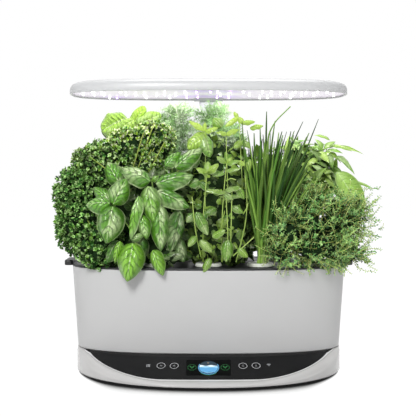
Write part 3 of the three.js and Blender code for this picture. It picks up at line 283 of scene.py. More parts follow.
def moulded_plastic(name, colour, roughness, grain=900.0, depth=0.05, mottle=0.03, coat=0.0):
    """Moulded plastic: a fine grain in the surface, faint clouding of the colour, and handling marks in the gloss."""
    finish = Finish(name, Coat_Weight=coat, Coat_Roughness=0.08)
    clouds = finish.noise(14, 4)
    fine = finish.noise(grain, 2)
    return finish.surface(
        Base_Color=finish.mix(clouds, scaled(colour, 1 - mottle), scaled(colour, 1 + mottle)),
        Roughness=roughness + (finish.noise(35, 5) - 0.5) * 0.12,
        Normal=finish.bump(fine, depth, 0.0004),
    )


def polished_plastic(name, colour, roughness=0.09, shine=0.2):
    """Polished black: a faint haze and smears in its gloss."""
    finish = Finish(name, Specular_IOR_Level=shine)
    smears = finish.noise(22, 6, roughness=0.65)
    return finish.surface(
        Base_Color=finish.mix(smears, scaled(colour, 0.85), scaled(colour, 1.25)),
        Roughness=roughness + smears * 0.07,
        Normal=finish.bump(finish.noise(60, 2), 0.02, 0.0003),
    )


def rubber(name, colour):
    finish = Finish(name)
    return finish.surface(
        Base_Color=finish.mix(finish.noise(160, 4), colour, scaled(colour, 1.8)),
        Roughness=0.75 + finish.noise(70, 3) * 0.2,
        Normal=finish.bump(finish.noise(700, 3), 0.3, 0.0005),
    )


def bare_metal(name, colour, roughness):
    """Rolled or turned metal, with fine lines along its length."""
    finish = Finish(name, Metallic=1.0)
    place = finish.node("ShaderNodeMapping", {}, {"Vector": finish.place(), "Scale": (40, 1500, 900)})
    lines = finish.noise(1, 3, place)
    return finish.surface(
        Base_Color=finish.mix(lines, scaled(colour, 0.85), colour),
        Roughness=roughness + lines * 0.15,
        Normal=finish.bump(lines, 0.15, 0.0002),
    )


def circuit_board(name, colour):
    """Solder mask over copper tracks."""
    finish = Finish(name, Coat_Weight=0.4)
    colours = {"Color1": colour, "Color2": scaled(colour, 1.5), "Mortar": scaled(colour, 0.6)}
    sizes = {"Vector": finish.place(), "Scale": 90.0, "Mortar Size": 0.02}
    tracks = finish.node("ShaderNodeTexBrick", {"offset": 0.5}, {**colours, **sizes}, "Color")
    return finish.surface(Base_Color=tracks, Roughness=0.35 + finish.noise(80, 3) * 0.2)


def porous(name, dark, pale, scale):
    """Damp peat or open foam."""
    finish = Finish(name, Roughness=0.95)
    cells = finish.cells(scale)
    crumbs = finish.noise(scale * 0.6, 6, roughness=0.7)
    return finish.surface(
        Base_Color=finish.mix(crumbs, dark, pale),
        Normal=finish.bump(cells + crumbs, 0.8, 0.0012),
    )


def clear_plastic(name, colour):
    finish = Finish(name, Transmission_Weight=0.6, IOR=1.45)
    return finish.surface(Base_Color=finish.mix(finish.noise(40, 3), colour, scaled(colour, 0.9)), Roughness=0.12)


def glowing(name, colour, strength, roughness=0.4):
    """A lit print or lens: it glows a little unevenly, on a dark body."""
    finish = Finish(name, Roughness=roughness, Emission_Strength=strength)
    uneven = finish.noise(500, 2)
    tint = finish.mix(uneven, scaled(colour, 0.88), colour)
    return finish.surface(Base_Color=finish.mix(uneven, scaled(colour, 0.2), scaled(colour, 0.3)), Emission_Color=tint)


def leaf_finish(name, body, depth, young, pale_vein_and_glare, gloss, veins, puckers, slant, painted_relief):
    """A leaf quilted between its side veins, with a pale midrib and margin, and a darker or younger tone by leaf.

    UVs run across and along each leaf. The tone attribute holds chance, youth and shade in its three channels.
    Painted glare patches and a painted sunlit edge pale the leaf; painted shade darkens its creases, its margins,
    and, by the shade channel, whole leaves.
    """
    finish = Finish(name, IOR=1.38, Coat_Roughness=0.17)
    deep, young, pale_vein_and_glare = scaled(body, depth), linear(young), linear(pale_vein_and_glare)
    across, along = finish.leaf_place()
    aside = (across - 0.5).size() * 2
    tone, youth, shade = finish.tones()
    patches = finish.noise(60, 4, roughness=0.6)
    # How much painted glare a leaf takes: less on young leaves
    glare_share = (1 - youth * 1.7).clipped()
    # Painted highlight: pale glare patches near the midrib
    painted_glare = ((finish.noise(44, 4) - 0.46) * 8).clipped() * (1.3 - aside).clipped() * glare_share
    midrib = (1 - aside * 14).clipped()
    fan = ((along * veins - aside * slant + finish.noise(90, 2) * 1.4) * math.pi * 2).sine()
    # Creases between the puffs: they drive the bump, and below they are darkened as painted shade
    crease = ((fan - 0.6) * 2.5).clipped() * (1 - aside * 0.6).clipped()
    margin = ((aside - 0.9) * 10).clipped()
    base = finish.mix(tone, scaled(deep, 0.85), body)
    base = finish.mix((patches * 0.9 + along * 0.25 - 0.3).clipped(), base, blended(body, young, 0.35))
    base = finish.mix(youth, base, young)
    # Painted shade toward the curled-down margins
    base = finish.mix((aside - 0.35).clipped() * painted_relief, base, scaled(deep, 0.6))
    base = finish.mix((painted_glare * painted_relief * 0.85).clipped(), base, pale_vein_and_glare)
    # Painted shade in the creases
    base = finish.mix(crease * painted_relief * 0.35, base, deep)
    # Pale midrib and margin: partly the leaf's own colour, partly painted glare and a painted sunlit edge
    base = finish.mix((midrib * (0.4 + glare_share * 0.4) + margin * (0.3 + glare_share * 0.5)).clipped(), base, pale_vein_and_glare)
    base = finish.mix(shade, base, scaled(deep, 0.15))
    return finish.surface(
        Base_Color=base,
        Roughness=gloss + patches * 0.18 + shade * 0.5,
        Coat_Weight=(1 - shade) * 0.75,
        Normal=finish.bump(patches * 1.4 - crease * 1.1, puckers, 0.0016),
    )


def stem_finish(name, colour, tip):
    finish = Finish(name)
    colour, tip = linear(colour), linear(tip)
    _, along = finish.leaf_place()
    streaks = finish.noise(220, 3)
    base = finish.mix((along + streaks * 0.4 - 0.2).clipped(), colour, tip)
    return finish.surface(
        # Painted shade from the tone's shade channel
        Base_Color=finish.mix(finish.tones()[2], base, scaled(colour, 0.3)),
        Roughness=0.45 + streaks * 0.2,
        Normal=finish.bump(streaks, 0.2, 0.0004),
    )


# Meshes


def mesh_object(name, skin, materials, sharp=None, smooth=True):
    mesh = bpy.data.meshes.new(name)
    points, faces = skin
    mesh.from_pydata([tuple(p) for p in points], [], [tuple(f) for f in faces])
    mesh.validate()
    return dressed(name, mesh, materials, sharp, smooth)


def dressed(name, mesh, materials, sharp=None, smooth=True):
    for material in materials if isinstance(materials, (list, tuple)) else [materials]:
        mesh.materials.append(material)
    if smooth:
        mesh.shade_smooth()
        if sharp:
            mesh.set_sharp_from_angle(angle=math.radians(sharp))
    made = bpy.data.objects.new(name, mesh)
    bpy.context.scene.collection.objects.link(made)
    return made


def finish_piece(piece, body, slot, *nodes):
    """Hands a piece over to the frame: the body that it rides on, and the solids that it stands for, which it hides.
    The slot is not used.
    """
    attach(piece, body)
    if nodes:
        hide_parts(*nodes)
    return piece


def moulding(name, skin, material, body, slot, *nodes, sharp=40):
    """A smooth piece made of one skin, handed over to the frame."""
    return finish_piece(mesh_object(name, skin, material, sharp), body, slot, *nodes)


def lay_finishes(piece, slots):
    """Says which of its materials each face of a piece has."""
    piece.data.polygons.foreach_set("material_index", slots)


def bored(piece, skins):
    """Cuts closed skins out of a piece."""
    cutter = mesh_object(piece.name + "_bores", joined(skins), piece.data.materials[0])
    for thing in (piece, cutter):
        sheet = bmesh.new()
        sheet.from_mesh(thing.data)
        bmesh.ops.recalc_face_normals(sheet, faces=sheet.faces)
        sheet.to_mesh(thing.data)
        sheet.free()
    cut = piece.modifiers.new("bores", "BOOLEAN")
    cut.operation, cut.solver, cut.object = "DIFFERENCE", "EXACT", cutter
    bpy.context.view_layer.update()
    mesh = bpy.data.meshes.new_from_object(piece.evaluated_get(bpy.context.evaluated_depsgraph_get()))
    piece.modifiers.clear()
    piece.data = mesh
    bpy.data.objects.remove(cutter)


def round_turn(count):
    """Angles of even steps round a full turn."""
    return np.linspace(0, 2 * math.pi, count, endpoint=False)


def plan_ring(half_width, front, rear, power, count=256):
    """A superellipse outline: how far it reaches forward and back may differ."""
    c, s = np.cos(round_turn(count)), np.sin(round_turn(count))
    x = half_width * np.sign(c) * np.abs(c) ** (2 / power)
    depth = np.where(s < 0, front, rear)
    return np.stack([x, depth * np.sign(s) * np.abs(s) ** (2 / power)], axis=1)


def level(outline, z):
    """A plane outline as a ring at a height."""
    return np.column_stack([outline, np.full(len(outline), z)])


def loft(rings, capped=(True, True)):
    """Points and faces of a skin over closed rings that all have as many points, with fans over its ends."""
    rings = [np.asarray(ring) for ring in rings]
    count = len(rings[0])
    faces = []
    for i in range(len(rings) - 1):
        for j in range(count):
            k = (j + 1) % count
            faces.append((i * count + j, i * count + k, (i + 1) * count + k, (i + 1) * count + j))
    points = np.concatenate(rings)
    for end, wanted in zip((0, len(rings) - 1), capped):
        if wanted:
            points = np.concatenate([points, rings[end].mean(axis=0)[None]])
            hub = len(points) - 1
            for j in range(count):
                edge = (end * count + j, end * count + (j + 1) % count)
                faces.append((hub, *edge) if end else (hub, *reversed(edge)))
    return points, faces


def filleted(corners, radius, steps):
    """A polyline in the plane or in space, each inner corner rounded."""
    corners = [np.array(p, float) for p in corners]
    path = [corners[0]]
    for before, corner, after in zip(corners, corners[1:], corners[2:]):
        back, ahead = before - corner, after - corner
        reach = min(radius, np.linalg.norm(back) * 0.45, np.linalg.norm(ahead) * 0.45)
        start = corner + back / np.linalg.norm(back) * reach
        stop = corner + ahead / np.linalg.norm(ahead) * reach
        for t in np.linspace(0, 1, steps):
            path.append((1 - t) ** 2 * start + 2 * t * (1 - t) * corner + t * t * stop)
    return [*path, corners[-1]]


def profile(corners, radius, steps=5):
    """A filleted polyline that is written in millimetres."""
    return filleted([(a * MM, b * MM) for a, b in corners], radius * MM, steps)


def rounded_rectangle(width, depth, radius, count=8):
    points = []
    for cx, cy, start in ((1, 1, 0), (-1, 1, 90), (-1, -1, 180), (1, -1, 270)):
        middle = cx * (width / 2 - radius), cy * (depth / 2 - radius)
        for i in range(count + 1):
            angle = math.radians(start + 90 * i / count)
            points.append((middle[0] + radius * math.cos(angle), middle[1] + radius * math.sin(angle)))
    return np.array(points)


def block(width, depth, radius, z0, z1, edge, centre):
    """An upright rounded block with softened top and bottom edges, written in millimetres."""
    width, depth, radius, z0, z1, edge = (size * MM for size in (width, depth, radius, z0, z1, edge))
    inner = min(width, depth) * 0.3
    rings = []
    for inset, z in filleted([(inner, z0), (0, z0), (0, z1), (inner, z1)], edge, 4):
        ring = rounded_rectangle(width - 2 * inset, depth - 2 * inset, max(radius - inset * 0.8, 0.2 * MM))
        rings.append(level(ring + np.array(centre) * MM, z))
    return loft(rings)


def joined(parts):
    """Several (points, faces) skins as one."""
    points, faces, offset = [], [], 0
    for some, others in parts:
        points.append(np.asarray(some))
        faces.extend(tuple(i + offset for i in face) for face in others)
        offset += len(some)
    return np.concatenate(points), faces


def turned_skin(path, sides, centre=(0, 0)):
    """A skin of revolution from a path of (radius, height)."""
    c, s = np.cos(round_turn(sides)), np.sin(round_turn(sides))
    rings = [level(np.stack([centre[0] + r * c, centre[1] + r * s], axis=1), z) for r, z in path]
    return loft(rings, (path[0][0] > 0.1 * MM, path[-1][0] > 0.1 * MM))


# The sloping front


class Slope:
    """The plane-like front of the base: places on it are millimetres along x and down from the bowl's bottom edge."""

    tilt = math.radians(28)
    power = 2.6
    flat_half = 0.060
    taper = 0.116
    tip = 0.184

    def __init__(self, shell):
        self.a = shell.bowl_bottom_half_width
        self.b = shell.bowl_bottom_half_depth
        self.top = shell.base_height
        self.reach = shell.panel_reach

    def edge(self, angles):
        """Points of the bowl's bottom edge, and the directions straight out from it."""
        c, s = np.cos(angles), np.sin(angles)
        x = self.a * np.sign(c) * np.abs(c) ** (2 / self.power)
        y = self.b * np.sign(s) * np.abs(s) ** (2 / self.power)
        nx = np.sign(x) * np.abs(x / self.a) ** (self.power - 1) / self.a
        ny = np.sign(y) * np.abs(y / self.b) ** (self.power - 1) / self.b
        length = np.hypot(nx, ny)
        return np.stack([x, y], axis=-1), np.stack([nx / length, ny / length], axis=-1)

    def width(self, x, y):
        """How far the panel's bed reaches out from the edge."""
        along = np.clip((np.abs(x) - self.flat_half) / self.taper, 0, 1)
        point = np.clip((self.tip - np.abs(x)) / (19 * MM), 0, 1) * 7 * MM
        return np.where(y < 0, np.maximum(self.reach * (1 - along**1.9), point), 0)

    def at(self, x, down, lift=0.0):
        """The frame at a place: its point, and the directions across, up the slope, and out of it."""
        x, down = x * MM, down * MM
        edge_x = x
        for _ in range(6):
            share = math.copysign(abs(edge_x / self.a) ** (self.power / 2), edge_x)
            edge, normal = self.edge(np.array(-math.acos(max(-1, min(1, share)))))
            edge_x = x - normal[0] * down
        out = Vector((normal[0] * math.sin(self.tilt), normal[1] * math.sin(self.tilt), math.cos(self.tilt)))
        across = Vector((-normal[1], normal[0], 0)).normalized()
        point = Vector((edge[0] + normal[0] * down, edge[1] + normal[1] * down, self.top - down * math.tan(self.tilt)))
        return point + out * lift * MM, across, out.cross(across), out

    def ring(self, x, down, radius, lift, count):
        """A round ring about a place, at a height off the slope."""
        point, across, upward, out = self.at(x, down)
        ways = [across * math.cos(a) + upward * math.sin(a) for a in round_turn(count)]
        return [point + way * radius * MM + out * lift * MM for way in ways]


# Drawings on the slope, as (points, faces) in millimetres


def strip(pairs):
    """Quads between pairs of points."""
    faces = [(2 * i, 2 * i + 1, 2 * i + 3, 2 * i + 2) for i in range(len(pairs) - 1)]
    return [point for pair in pairs for point in pair], faces


def arc_strip(inner, outer, start, stop, steps, centre=(0, 0)):
    """A ring or a part of one."""
    pairs = []
    for i in range(steps + 1):
        angle = math.radians(start + (stop - start) * i / steps)
        c, s = math.cos(angle), math.sin(angle)
        pairs.append([(centre[0] + radius * c, centre[1] + radius * s) for radius in (inner, outer)])
    return strip(pairs)


def line_strip(path, width):
    """A line of an even width through points."""
    pairs = []
    for i, place in enumerate(path):
        ahead = (Vector(path[min(i + 1, len(path) - 1)]) - Vector(path[max(i - 1, 0)])).normalized()
        side = Vector((-ahead.y, ahead.x)) * width / 2
        pairs.append((Vector(place) + side, Vector(place) - side))
    return strip(pairs)


def filled(outline):
    return outline, [tuple(range(len(outline)))]


def drawing(name, slope, place, lift, layers, materials, body, slot):
    """Prints about a place on the slope: layers of (shape, material number), each a hair above the last."""
    skins, slots = [], []
    for number, ((points, faces), ink) in enumerate(layers):
        point, across, upward, _ = slope.at(*place, lift + number * 0.012)
        skins.append(([point + (across * u + upward * v) * MM for u, v in points], faces))
        slots += [ink] * len(faces)
    piece = mesh_object(name, joined(skins), materials, smooth=False)
    lay_finishes(piece, slots)
    finish_piece(piece, body, slot)


# Operators


class GARDEN_OT_stage(bpy.types.Operator):
    """Floor, lamps, world and camera"""

    bl_idname = "garden.stage"
    bl_label = "Stage"

    def execute(self, context):
        scene, stage = context.scene, context.scene.garden_stage
        scene.camera = studio_camera(stage)
        scene.world = studio_world(stage)
        studio_floor()
        studio_lamp("key_lamp", (-0.5, -2.0, 1.5), 0.7, stage.key)
        studio_lamp("side_lamp", (2.0, 0.6, 0.5), 1.0, stage.side)
        studio_lamp("top_lamp", (0.1, 0.9, 2.3), 1.5, stage.top)
        grow = studio_lamp("grow_lamp", (0, 0.019, 0.409), 0.38, stage.grow, (0, 0.019, 0.2))
        grow.data.shape = "RECTANGLE"
        grow.data.size_y = 0.15
        grow.visible_camera = False
        grow.visible_glossy = False
        scene.view_settings.view_transform = "Standard"
        return {"FINISHED"}


def studio_camera(stage):
    data = bpy.data.cameras.new("camera")
    data.lens = stage.focal_length
    data.sensor_width = SENSOR
    data.clip_start = 0.01
    data.shift_y = -stage.camera_shift
    camera = bpy.data.objects.new("camera", data)
    camera.location = (stage.camera_aside, -stage.camera_distance, stage.camera_height)
    camera.rotation_euler = (math.radians(90), 0, 0)
    bpy.context.scene.collection.objects.link(camera)
    return camera


def studio_world(stage):
    """White to the camera, and on the object softer light that is weaker from the sides."""
    world = bpy.data.worlds.new("studio")
    world.use_nodes = True
    sky = Nodes(world.node_tree)
    seen = sky.seen()
    strength = sky.node("ShaderNodeMapRange", {}, {"Value": seen, "To Min": stage.ambient, "To Max": 1})
    (aside,) = sky.parts("ShaderNodeSeparateXYZ", {0: sky.node("ShaderNodeTexCoord", output="Generated")}, "X")
    flags = 1.42 - aside.size() * 1.2 * (1 - seen) - seen * 0.42
    background = world.node_tree.nodes["Background"]
    sky.give(background.inputs["Strength"], strength * flags)
    sky.give(background.inputs["Color"], (1, 1, 1))
    return world


def studio_floor():
    """A pale floor that turns white away from the object, with a painted contact shadow close to it, and keeps the
    shadow under it.
    """
    finish = Finish("studio_floor", Roughness=1.0, Specular_IOR_Level=0.0)
    across, deep = finish.parts("ShaderNodeSeparateXYZ", {0: finish.place()}, "X", "Y")
    away = (across.size() ** 2.2 + (deep * 1.34).size() ** 2.2) ** (1 / 2.2)
    tight = (across.size() * 5.1) ** 12 * 600
    # Painted contact shadow: the floor's colour darkens close to the object, more tightly at its sides
    near = (1 - (away - 0.199) * (tight + 37)).clipped()
    finish.surface(Base_Color=finish.mix(near, finish.mix(finish.noise(3, 2), grey(0.9), grey(0.92)), grey(0.03)))
    share = finish.seen() * ((away - 0.205) * (tight + 25) + tight * 0.012).clipped()
    glow = finish.node("ShaderNodeEmission", {}, {"Strength": 1.05})
    matt = Signal(finish, finish.shader.outputs[0])
    both = finish.node("ShaderNodeMixShader", {}, {0: share, 1: matt, 2: glow})
    output = next(n for n in finish.tree.nodes if n.type == "OUTPUT_MATERIAL")
    finish.give(output.inputs["Surface"], both)
    corners = [(4 * x, 4 * y, 0) for x, y in ((-1, -1), (1, -1), (1, 1), (-1, 1))]
    mesh_object("floor", (corners, [(0, 1, 2, 3)]), finish.material)


def studio_lamp(name, place, size, power, aim=(0, 0, 0.2)):
    data = bpy.data.lights.new(name, "AREA")
    data.shape = "DISK"
    data.size = size
    data.energy = power
    lamp = bpy.data.objects.new(name, data)
    lamp.location = place
    lamp.rotation_euler = (Vector(aim) - Vector(place)).to_track_quat("-Z", "Y").to_euler()
    bpy.context.scene.collection.objects.link(lamp)
    return lamp


class GARDEN_OT_base(bpy.types.Operator):
    """Shell of the base, with the crest along the panel's edge"""

    bl_idname = "garden.base"
    bl_label = "Base shell"

    def execute(self, context):
        shell = context.scene.garden_shell
        base_shell(shell, Slope(shell))
        base_skirt(shell)
        return {"FINISHED"}


BASE_SIDES = 288


def base_outline(shell, inset):
    """The base's outer outline, drawn in by some millimetres."""
    inset = inset * MM
    return plan_ring(
        shell.base_half_width - inset, shell.base_front - inset, shell.base_rear - inset, 2.2, BASE_SIDES
    )


def base_shell(shell, slope):
    count = BASE_SIDES
    edge, normal = slope.edge(round_turn(count))
    reach = slope.width(edge[:, 0], edge[:, 1])
    crest = edge + normal * reach[:, None]
    crest_z = slope.top - reach * math.tan(slope.tilt)
    side = base_outline(shell, 0.4)
    front = np.where(side[:, 1] < 0, 1 - np.abs(side[:, 0] / shell.base_half_width) ** 5, 0)
    shoulder_z = shell.base_height - 0.8 * MM - front * (shell.base_height - 6.0 * MM)
    rings = []

    def ring(plane, heights):
        rings.append(np.column_stack([plane, np.broadcast_to(heights, (count,))]))

    recess = plan_ring(190.4 * MM, 73.6 * MM, 73.6 * MM, slope.power, count)
    ring(recess, 28.6 * MM)
    ring(recess, shell.base_height - 0.5 * MM)
    bed = 2.3 * MM * np.clip(reach / (3 * MM), 0, 1)
    ring(edge - normal * 0.2 * MM, shell.base_height - bed)
    inner = edge + normal * np.maximum(reach - 0.15 * MM, 0)[:, None]
    ring(inner, crest_z - bed)
    ring(inner, crest_z + 0.1 * MM)
    bead = np.minimum(reach / (6 * MM), 1)
    for along, lift in ((0.3, 0.25), (0.8, 0.5), (1.6, 0.6), (2.8, 0.35)):
        ring(crest + normal * (along * MM * bead)[:, None], crest_z + lift * MM * bead)
    outer = crest + normal * (3.8 * MM * bead)[:, None]
    control = outer * 0.18 + side * 0.82
    control_z = crest_z * 0.96 + shoulder_z * 0.04
    for t in np.linspace(0.06, 1, 12):
        bend = (1 - t) ** 2, 2 * t * (1 - t), t * t
        plane = outer * bend[0] + control * bend[1] + side * bend[2]
        ring(plane, crest_z * bend[0] + control_z * bend[1] + (shoulder_z - 0.4 * MM) * bend[2])
    wall = shoulder_z - 3.1 * MM
    for share in (0.88, 0.7, 0.4, 0.12):
        ring(base_outline(shell, 0), 3.1 * MM + wall * share)
    for inset, height in ((0, 3.4), (0.35, 3.05), (2.6, 3.05), (2.6, 5.2)):
        ring(base_outline(shell, inset), height * MM)
    plastic = moulded_plastic("base_shell_plastic", shell.shell, 0.24, coat=0.35)
    # Glossier, and paled toward white: a painted highlight along the bead of the crest
    polish = moulded_plastic("base_edge_polish", scaled(shell.shell, 1.9), 0.2, coat=0.5)
    piece = moulding("base_shell_moulding", loft(rings), [plastic, polish], ROOT, "shell_grey", "base_shell", sharp=50)
    # The bead's faces take the painted highlight
    bead_rows = range(4, 9)
    has_bead = [face.index // count in bead_rows and reach[face.index % count] > 1 * MM for face in piece.data.polygons]
    lay_finishes(piece, [int(polished) for polished in has_bead])


def base_skirt(shell):
    """The dark plate's edge, which shows as a gap under the shell; its own dark colour is deepened to near black as
    painted shade of that gap.
    """
    tuck = 1 - 0.012 * np.abs(base_outline(shell, 0)[:, :1] / 0.197) ** 5
    path = [(2.4, 5.0)]
    path += [(0.7, 5.0), (0.5, 3.2), (0.5, 1.0), (0.9, 0.15), (3.2, 0.1), (6.5, 0.15), (6.8, 2.0), path[0]]
    rings = [level(base_outline(shell, inset) * tuck, z * MM) for inset, z in path]
    # The plate's dark rubber, deepened to near black as painted shade of the gap
    gasket = rubber("skirt_rubber", scaled(shell.skirt, 0.06))
    moulding("base_skirt", loft(rings, (False, False)), gasket, ROOT, "foot_rubber", sharp=50)


BUTTONS = {"mode": -66.64, "light": -48.17, "water": 48.17, "feed": 66.64}
BUTTON_DOWN = 23


class GARDEN_OT_panel(bpy.types.Operator):
    """Control panel with its screen, buttons and icons"""

    bl_idname = "garden.panel"
    bl_label = "Control panel"

    def execute(self, context):
        shell = context.scene.garden_shell
        slope = Slope(shell)
        crescent(shell, slope)
        screen(slope)
        buttons(shell, slope)
        icons(slope)
        return {"FINISHED"}


def crescent(shell, slope):
    """The panel's skin on the slope, with a round opening for each button to travel in."""
    tip = math.acos(((slope.tip - 0.5 * MM) / slope.a) ** (slope.power / 2))
    edge, normal = slope.edge(np.linspace(-math.pi + tip, -tip, 181))
    reach = np.maximum(slope.width(edge[:, 0], edge[:, 1]) - 0.35 * MM, 0.9 * MM)
    small = np.minimum(reach / (6 * MM), 1)
    rims = [(0, -2.1), (0, -0.3), (0.08, -0.08), (0.3, 0), (0.6, 0), (1.0, 0)]
    start, stop = 1.25 * MM * small, reach - 1.0 * MM * small
    rows = [((0.25 + inset) * MM * small, depth) for inset, depth in rims]
    rows += [(start + (stop - start) * share, 0) for share in (0.04, 0.085, 0.1, *np.linspace(0.16, 0.96, 9))]
    rows += [(reach - inset * MM * small, depth) for inset, depth in reversed(rims)]
    fall = math.tan(slope.tilt)
    grid = np.array(
        [np.column_stack([edge + normal * far[:, None], slope.top - far * fall + depth * MM]) for far, depth in rows]
    )
    count, columns = grid.shape[:2]
    faces = []
    for i in range(count):
        j = (i + 1) % count
        for k in range(columns - 1):
            faces.append((i * columns + k, j * columns + k, j * columns + k + 1, i * columns + k + 1))
    faces.append(tuple(i * columns for i in range(count)))
    faces.append(tuple(i * columns + columns - 1 for i in reversed(range(count))))
    # Polished panel, and a matte near-black band along the bowl's edge: painted shade under the bowl
    finishes = [polished_plastic("panel_polish", shell.panel), rubber("panel_gasket", linear("060606"))]
    piece = mesh_object("panel_crescent", (grid.reshape(-1, 3), faces), finishes)
    shade_band_rows = 7
    lay_finishes(piece, [int(face.index // (columns - 1) < shade_band_rows) for face in piece.data.polygons])
    bored(piece, [loft([slope.ring(x, BUTTON_DOWN, 6.5, z, 48) for z in (-6, 4)]) for x in BUTTONS.values()])
    piece.data.set_sharp_from_angle(angle=math.radians(50))
    finish_piece(piece, ROOT, "black_gloss", "control_panel")


def screen(slope):
    """The screen's pane, and on it a round window half full of water between two plant signs."""
    place = (0, 25.5)
    point, across, upward, out = slope.at(*place)
    pane = []
    for inset, z in profile([(6, -2), (0, -2), (0, 0.12), (6, 0.12)], 0.25, 4):
        ring = rounded_rectangle(62.6 * MM - 2 * inset, 33.0 * MM - 2 * inset, 1.2 * MM)
        pane.append([point + across * u + upward * v + out * z for u, v in ring])
    glass = polished_plastic("screen_glass", linear("030404"), 0.4, 0.06)
    moulding("screen_pane", loft(pane), glass, ROOT, "screen", "display_module")
    inks = (
        ("water_blue", "5aa4d6", 1.0), ("wave_white", "e2f2fb", 1.0), ("leaf_green", "237a3c", 0.8),
        ("tap_amber", "8a7a68", 0.8), ("night_blue", "12303f", 1.0), ("shallow_blue", "8cc4e4", 1.0),
        ("deep_water_blue", "2a5f86", 1.0),
    )
    blue, white, green, amber, night, pale, dusk = range(len(inks))
    layers = [
        (arc_strip(13.7, 14.6, 150, 390, 60), blue),
        (arc_strip(0.0, 13.7, 0, 360, 60), night),
        (water(12.9, 4.3, 0.9), white),
        (water(12.9, 2.0, -0.9), pale),
        (water(12.9, -0.6, 0.8), blue),
        (water(12.9, -9.4, 0.4), dusk),
        (arc_strip(10.2, 11.2, 235, 305, 24), pale),
        (arc_strip(0.0, 1.4, 0, 360, 20, (-0.6, 9.6)), amber),
        (arc_strip(15.2, 15.9, 225, 315, 36), green),
    ]
    for x in (-23.2, 23.2):
        layers += [(arc_strip(5.6, 6.2, start + 3, start + 41, 6, (x, 0)), green) for start in range(0, 360, 45)]
        layers += [(shape, green) for shape in sprout(x)]
    finishes = [glowing(name, linear(code), strength) for name, code, strength in inks]
    drawing("screen_picture", slope, place, 0.16, layers, finishes, ROOT, "screen")


def water(radius, height, swell):
    """A disc filled up to a wavy level."""
    half = math.sqrt(radius**2 - height**2)
    points = [(u, height + swell * math.sin(u / half * 5.2)) for u in np.linspace(-half, half, 25)]
    start = math.atan2(height, half)
    for angle in np.linspace(start, -math.pi - start, 41)[1:-1]:
        points.append((radius * math.cos(angle), radius * math.sin(angle)))
    return filled(points)


def sprout(x):
    """A small plant sign: a stem with a leaf on either side."""
    shapes = [line_strip([(x, -3.4), (x, 1.0)], 0.6)]
    for side in (-1, 1):
        under = [(i / 12, -1.3) for i in range(13)]
        over = [(1 - i / 12, 1.3) for i in range(1, 12)]
        leaf = [(x + side * 3.6 * t, -0.6 + 3.4 * t + belly * math.sin(math.pi * t)) for t, belly in under + over]
        shapes.append(filled(leaf))
    return shapes


def buttons(shell, slope):
    """Round caps with their prints, each on its own body."""
    cap = polished_plastic("button_polish", shell.panel, 0.2, 0.12)
    ink = glowing("icon_ink", linear("d6d8da"), 0.85)
    faint = glowing("icon_faint_ink", linear("d6d8da"), 0.5)
    path = filleted([(0.4, 0.55), (6.15, 0.45), (6.15, -2.4), (7.5, -2.6), (7.5, -3.6)], 0.45, 4)
    for body, x in BUTTONS.items():
        skin = loft([slope.ring(x, BUTTON_DOWN, radius, z, 56) for radius, z in path])
        moulding(f"{body}_button_cap", skin, cap, body, "button_plastic", f"{body}_button")
        layers = [(arc_strip(5.45, 6.0, 0, 360, 56), 0)]
        layers += [(([(u * 0.62, v * 0.62) for u, v in points], faces), 1) for points, faces in glyph(body)]
        name = f"{body}_button_print"
        drawing(name, slope, (x, BUTTON_DOWN), 0.6, layers, [ink, faint], body, "button_plastic")


def glyph(body):
    """The sign on a button: sliders, a lamp, a drop, or a bottle."""
    pen = 0.42
    if body == "mode":
        lines = [[(x, -2.4), (x, 2.4)] for x in (-1.8, 0, 1.8)]
        lines += [[(x - 0.8, y), (x + 0.8, y)] for x, y in ((-1.8, 1), (0, -1), (1.8, 0.4))]
    elif body == "light":
        lines = [[(r * math.cos(a), r * math.sin(a)) for r in (3.0, 4.1)] for a in round_turn(8)]
    elif body == "water":
        turns = [math.radians(35 - 250 * i / 24) for i in range(25)]
        lines = [[(0, 3.4), *((2.2 * math.cos(a), -0.7 + 2.2 * math.sin(a)) for a in turns), (0, 3.4)]]
    else:
        bottle = [(-1.6, -2.8), (1.6, -2.8), (1.6, 1.2), (0.7, 2.0), (0.7, 3.2)]
        bottle += [(-0.7, 3.2), (-0.7, 2.0), (-1.6, 1.2), (-1.6, -2.8)]
        lines = [bottle, [(-1.0, -0.8), (1.0, -0.8)]]
    lamp = [arc_strip(1.5, 2.1, 0, 360, 24)] if body == "light" else []
    return [line_strip(line, pen) for line in lines] + lamp


def icons(slope):
    """A square of dots at the left of the panel, and waves at its right."""
    ink = glowing("panel_ink", linear("c6c9cc"), 0.55)
    h = 0.65
    middles = [(x * 1.9 - 1.9, y * 1.9 - 1.9) for x in range(3) for y in range(3)]
    dots = [(filled([(u - h, v - h), (u + h, v - h), (u + h, v + h), (u - h, v + h)]), 0) for u, v in middles]
    drawing("panel_icon_left", slope, (-84.8, BUTTON_DOWN), 0.05, dots, [ink], ROOT, "screen")
    foot = (0, -1.6)
    waves = [(arc_strip(0, 0.55, 0, 360, 16, foot), 0)]
    waves += [(arc_strip(radius - 0.3, radius + 0.3, 45, 135, 16, foot), 0) for radius in (1.5, 2.7, 3.9)]
    drawing("panel_icon_right", slope, (84.8, 22), 0.05, waves, [ink], ROOT, "screen")


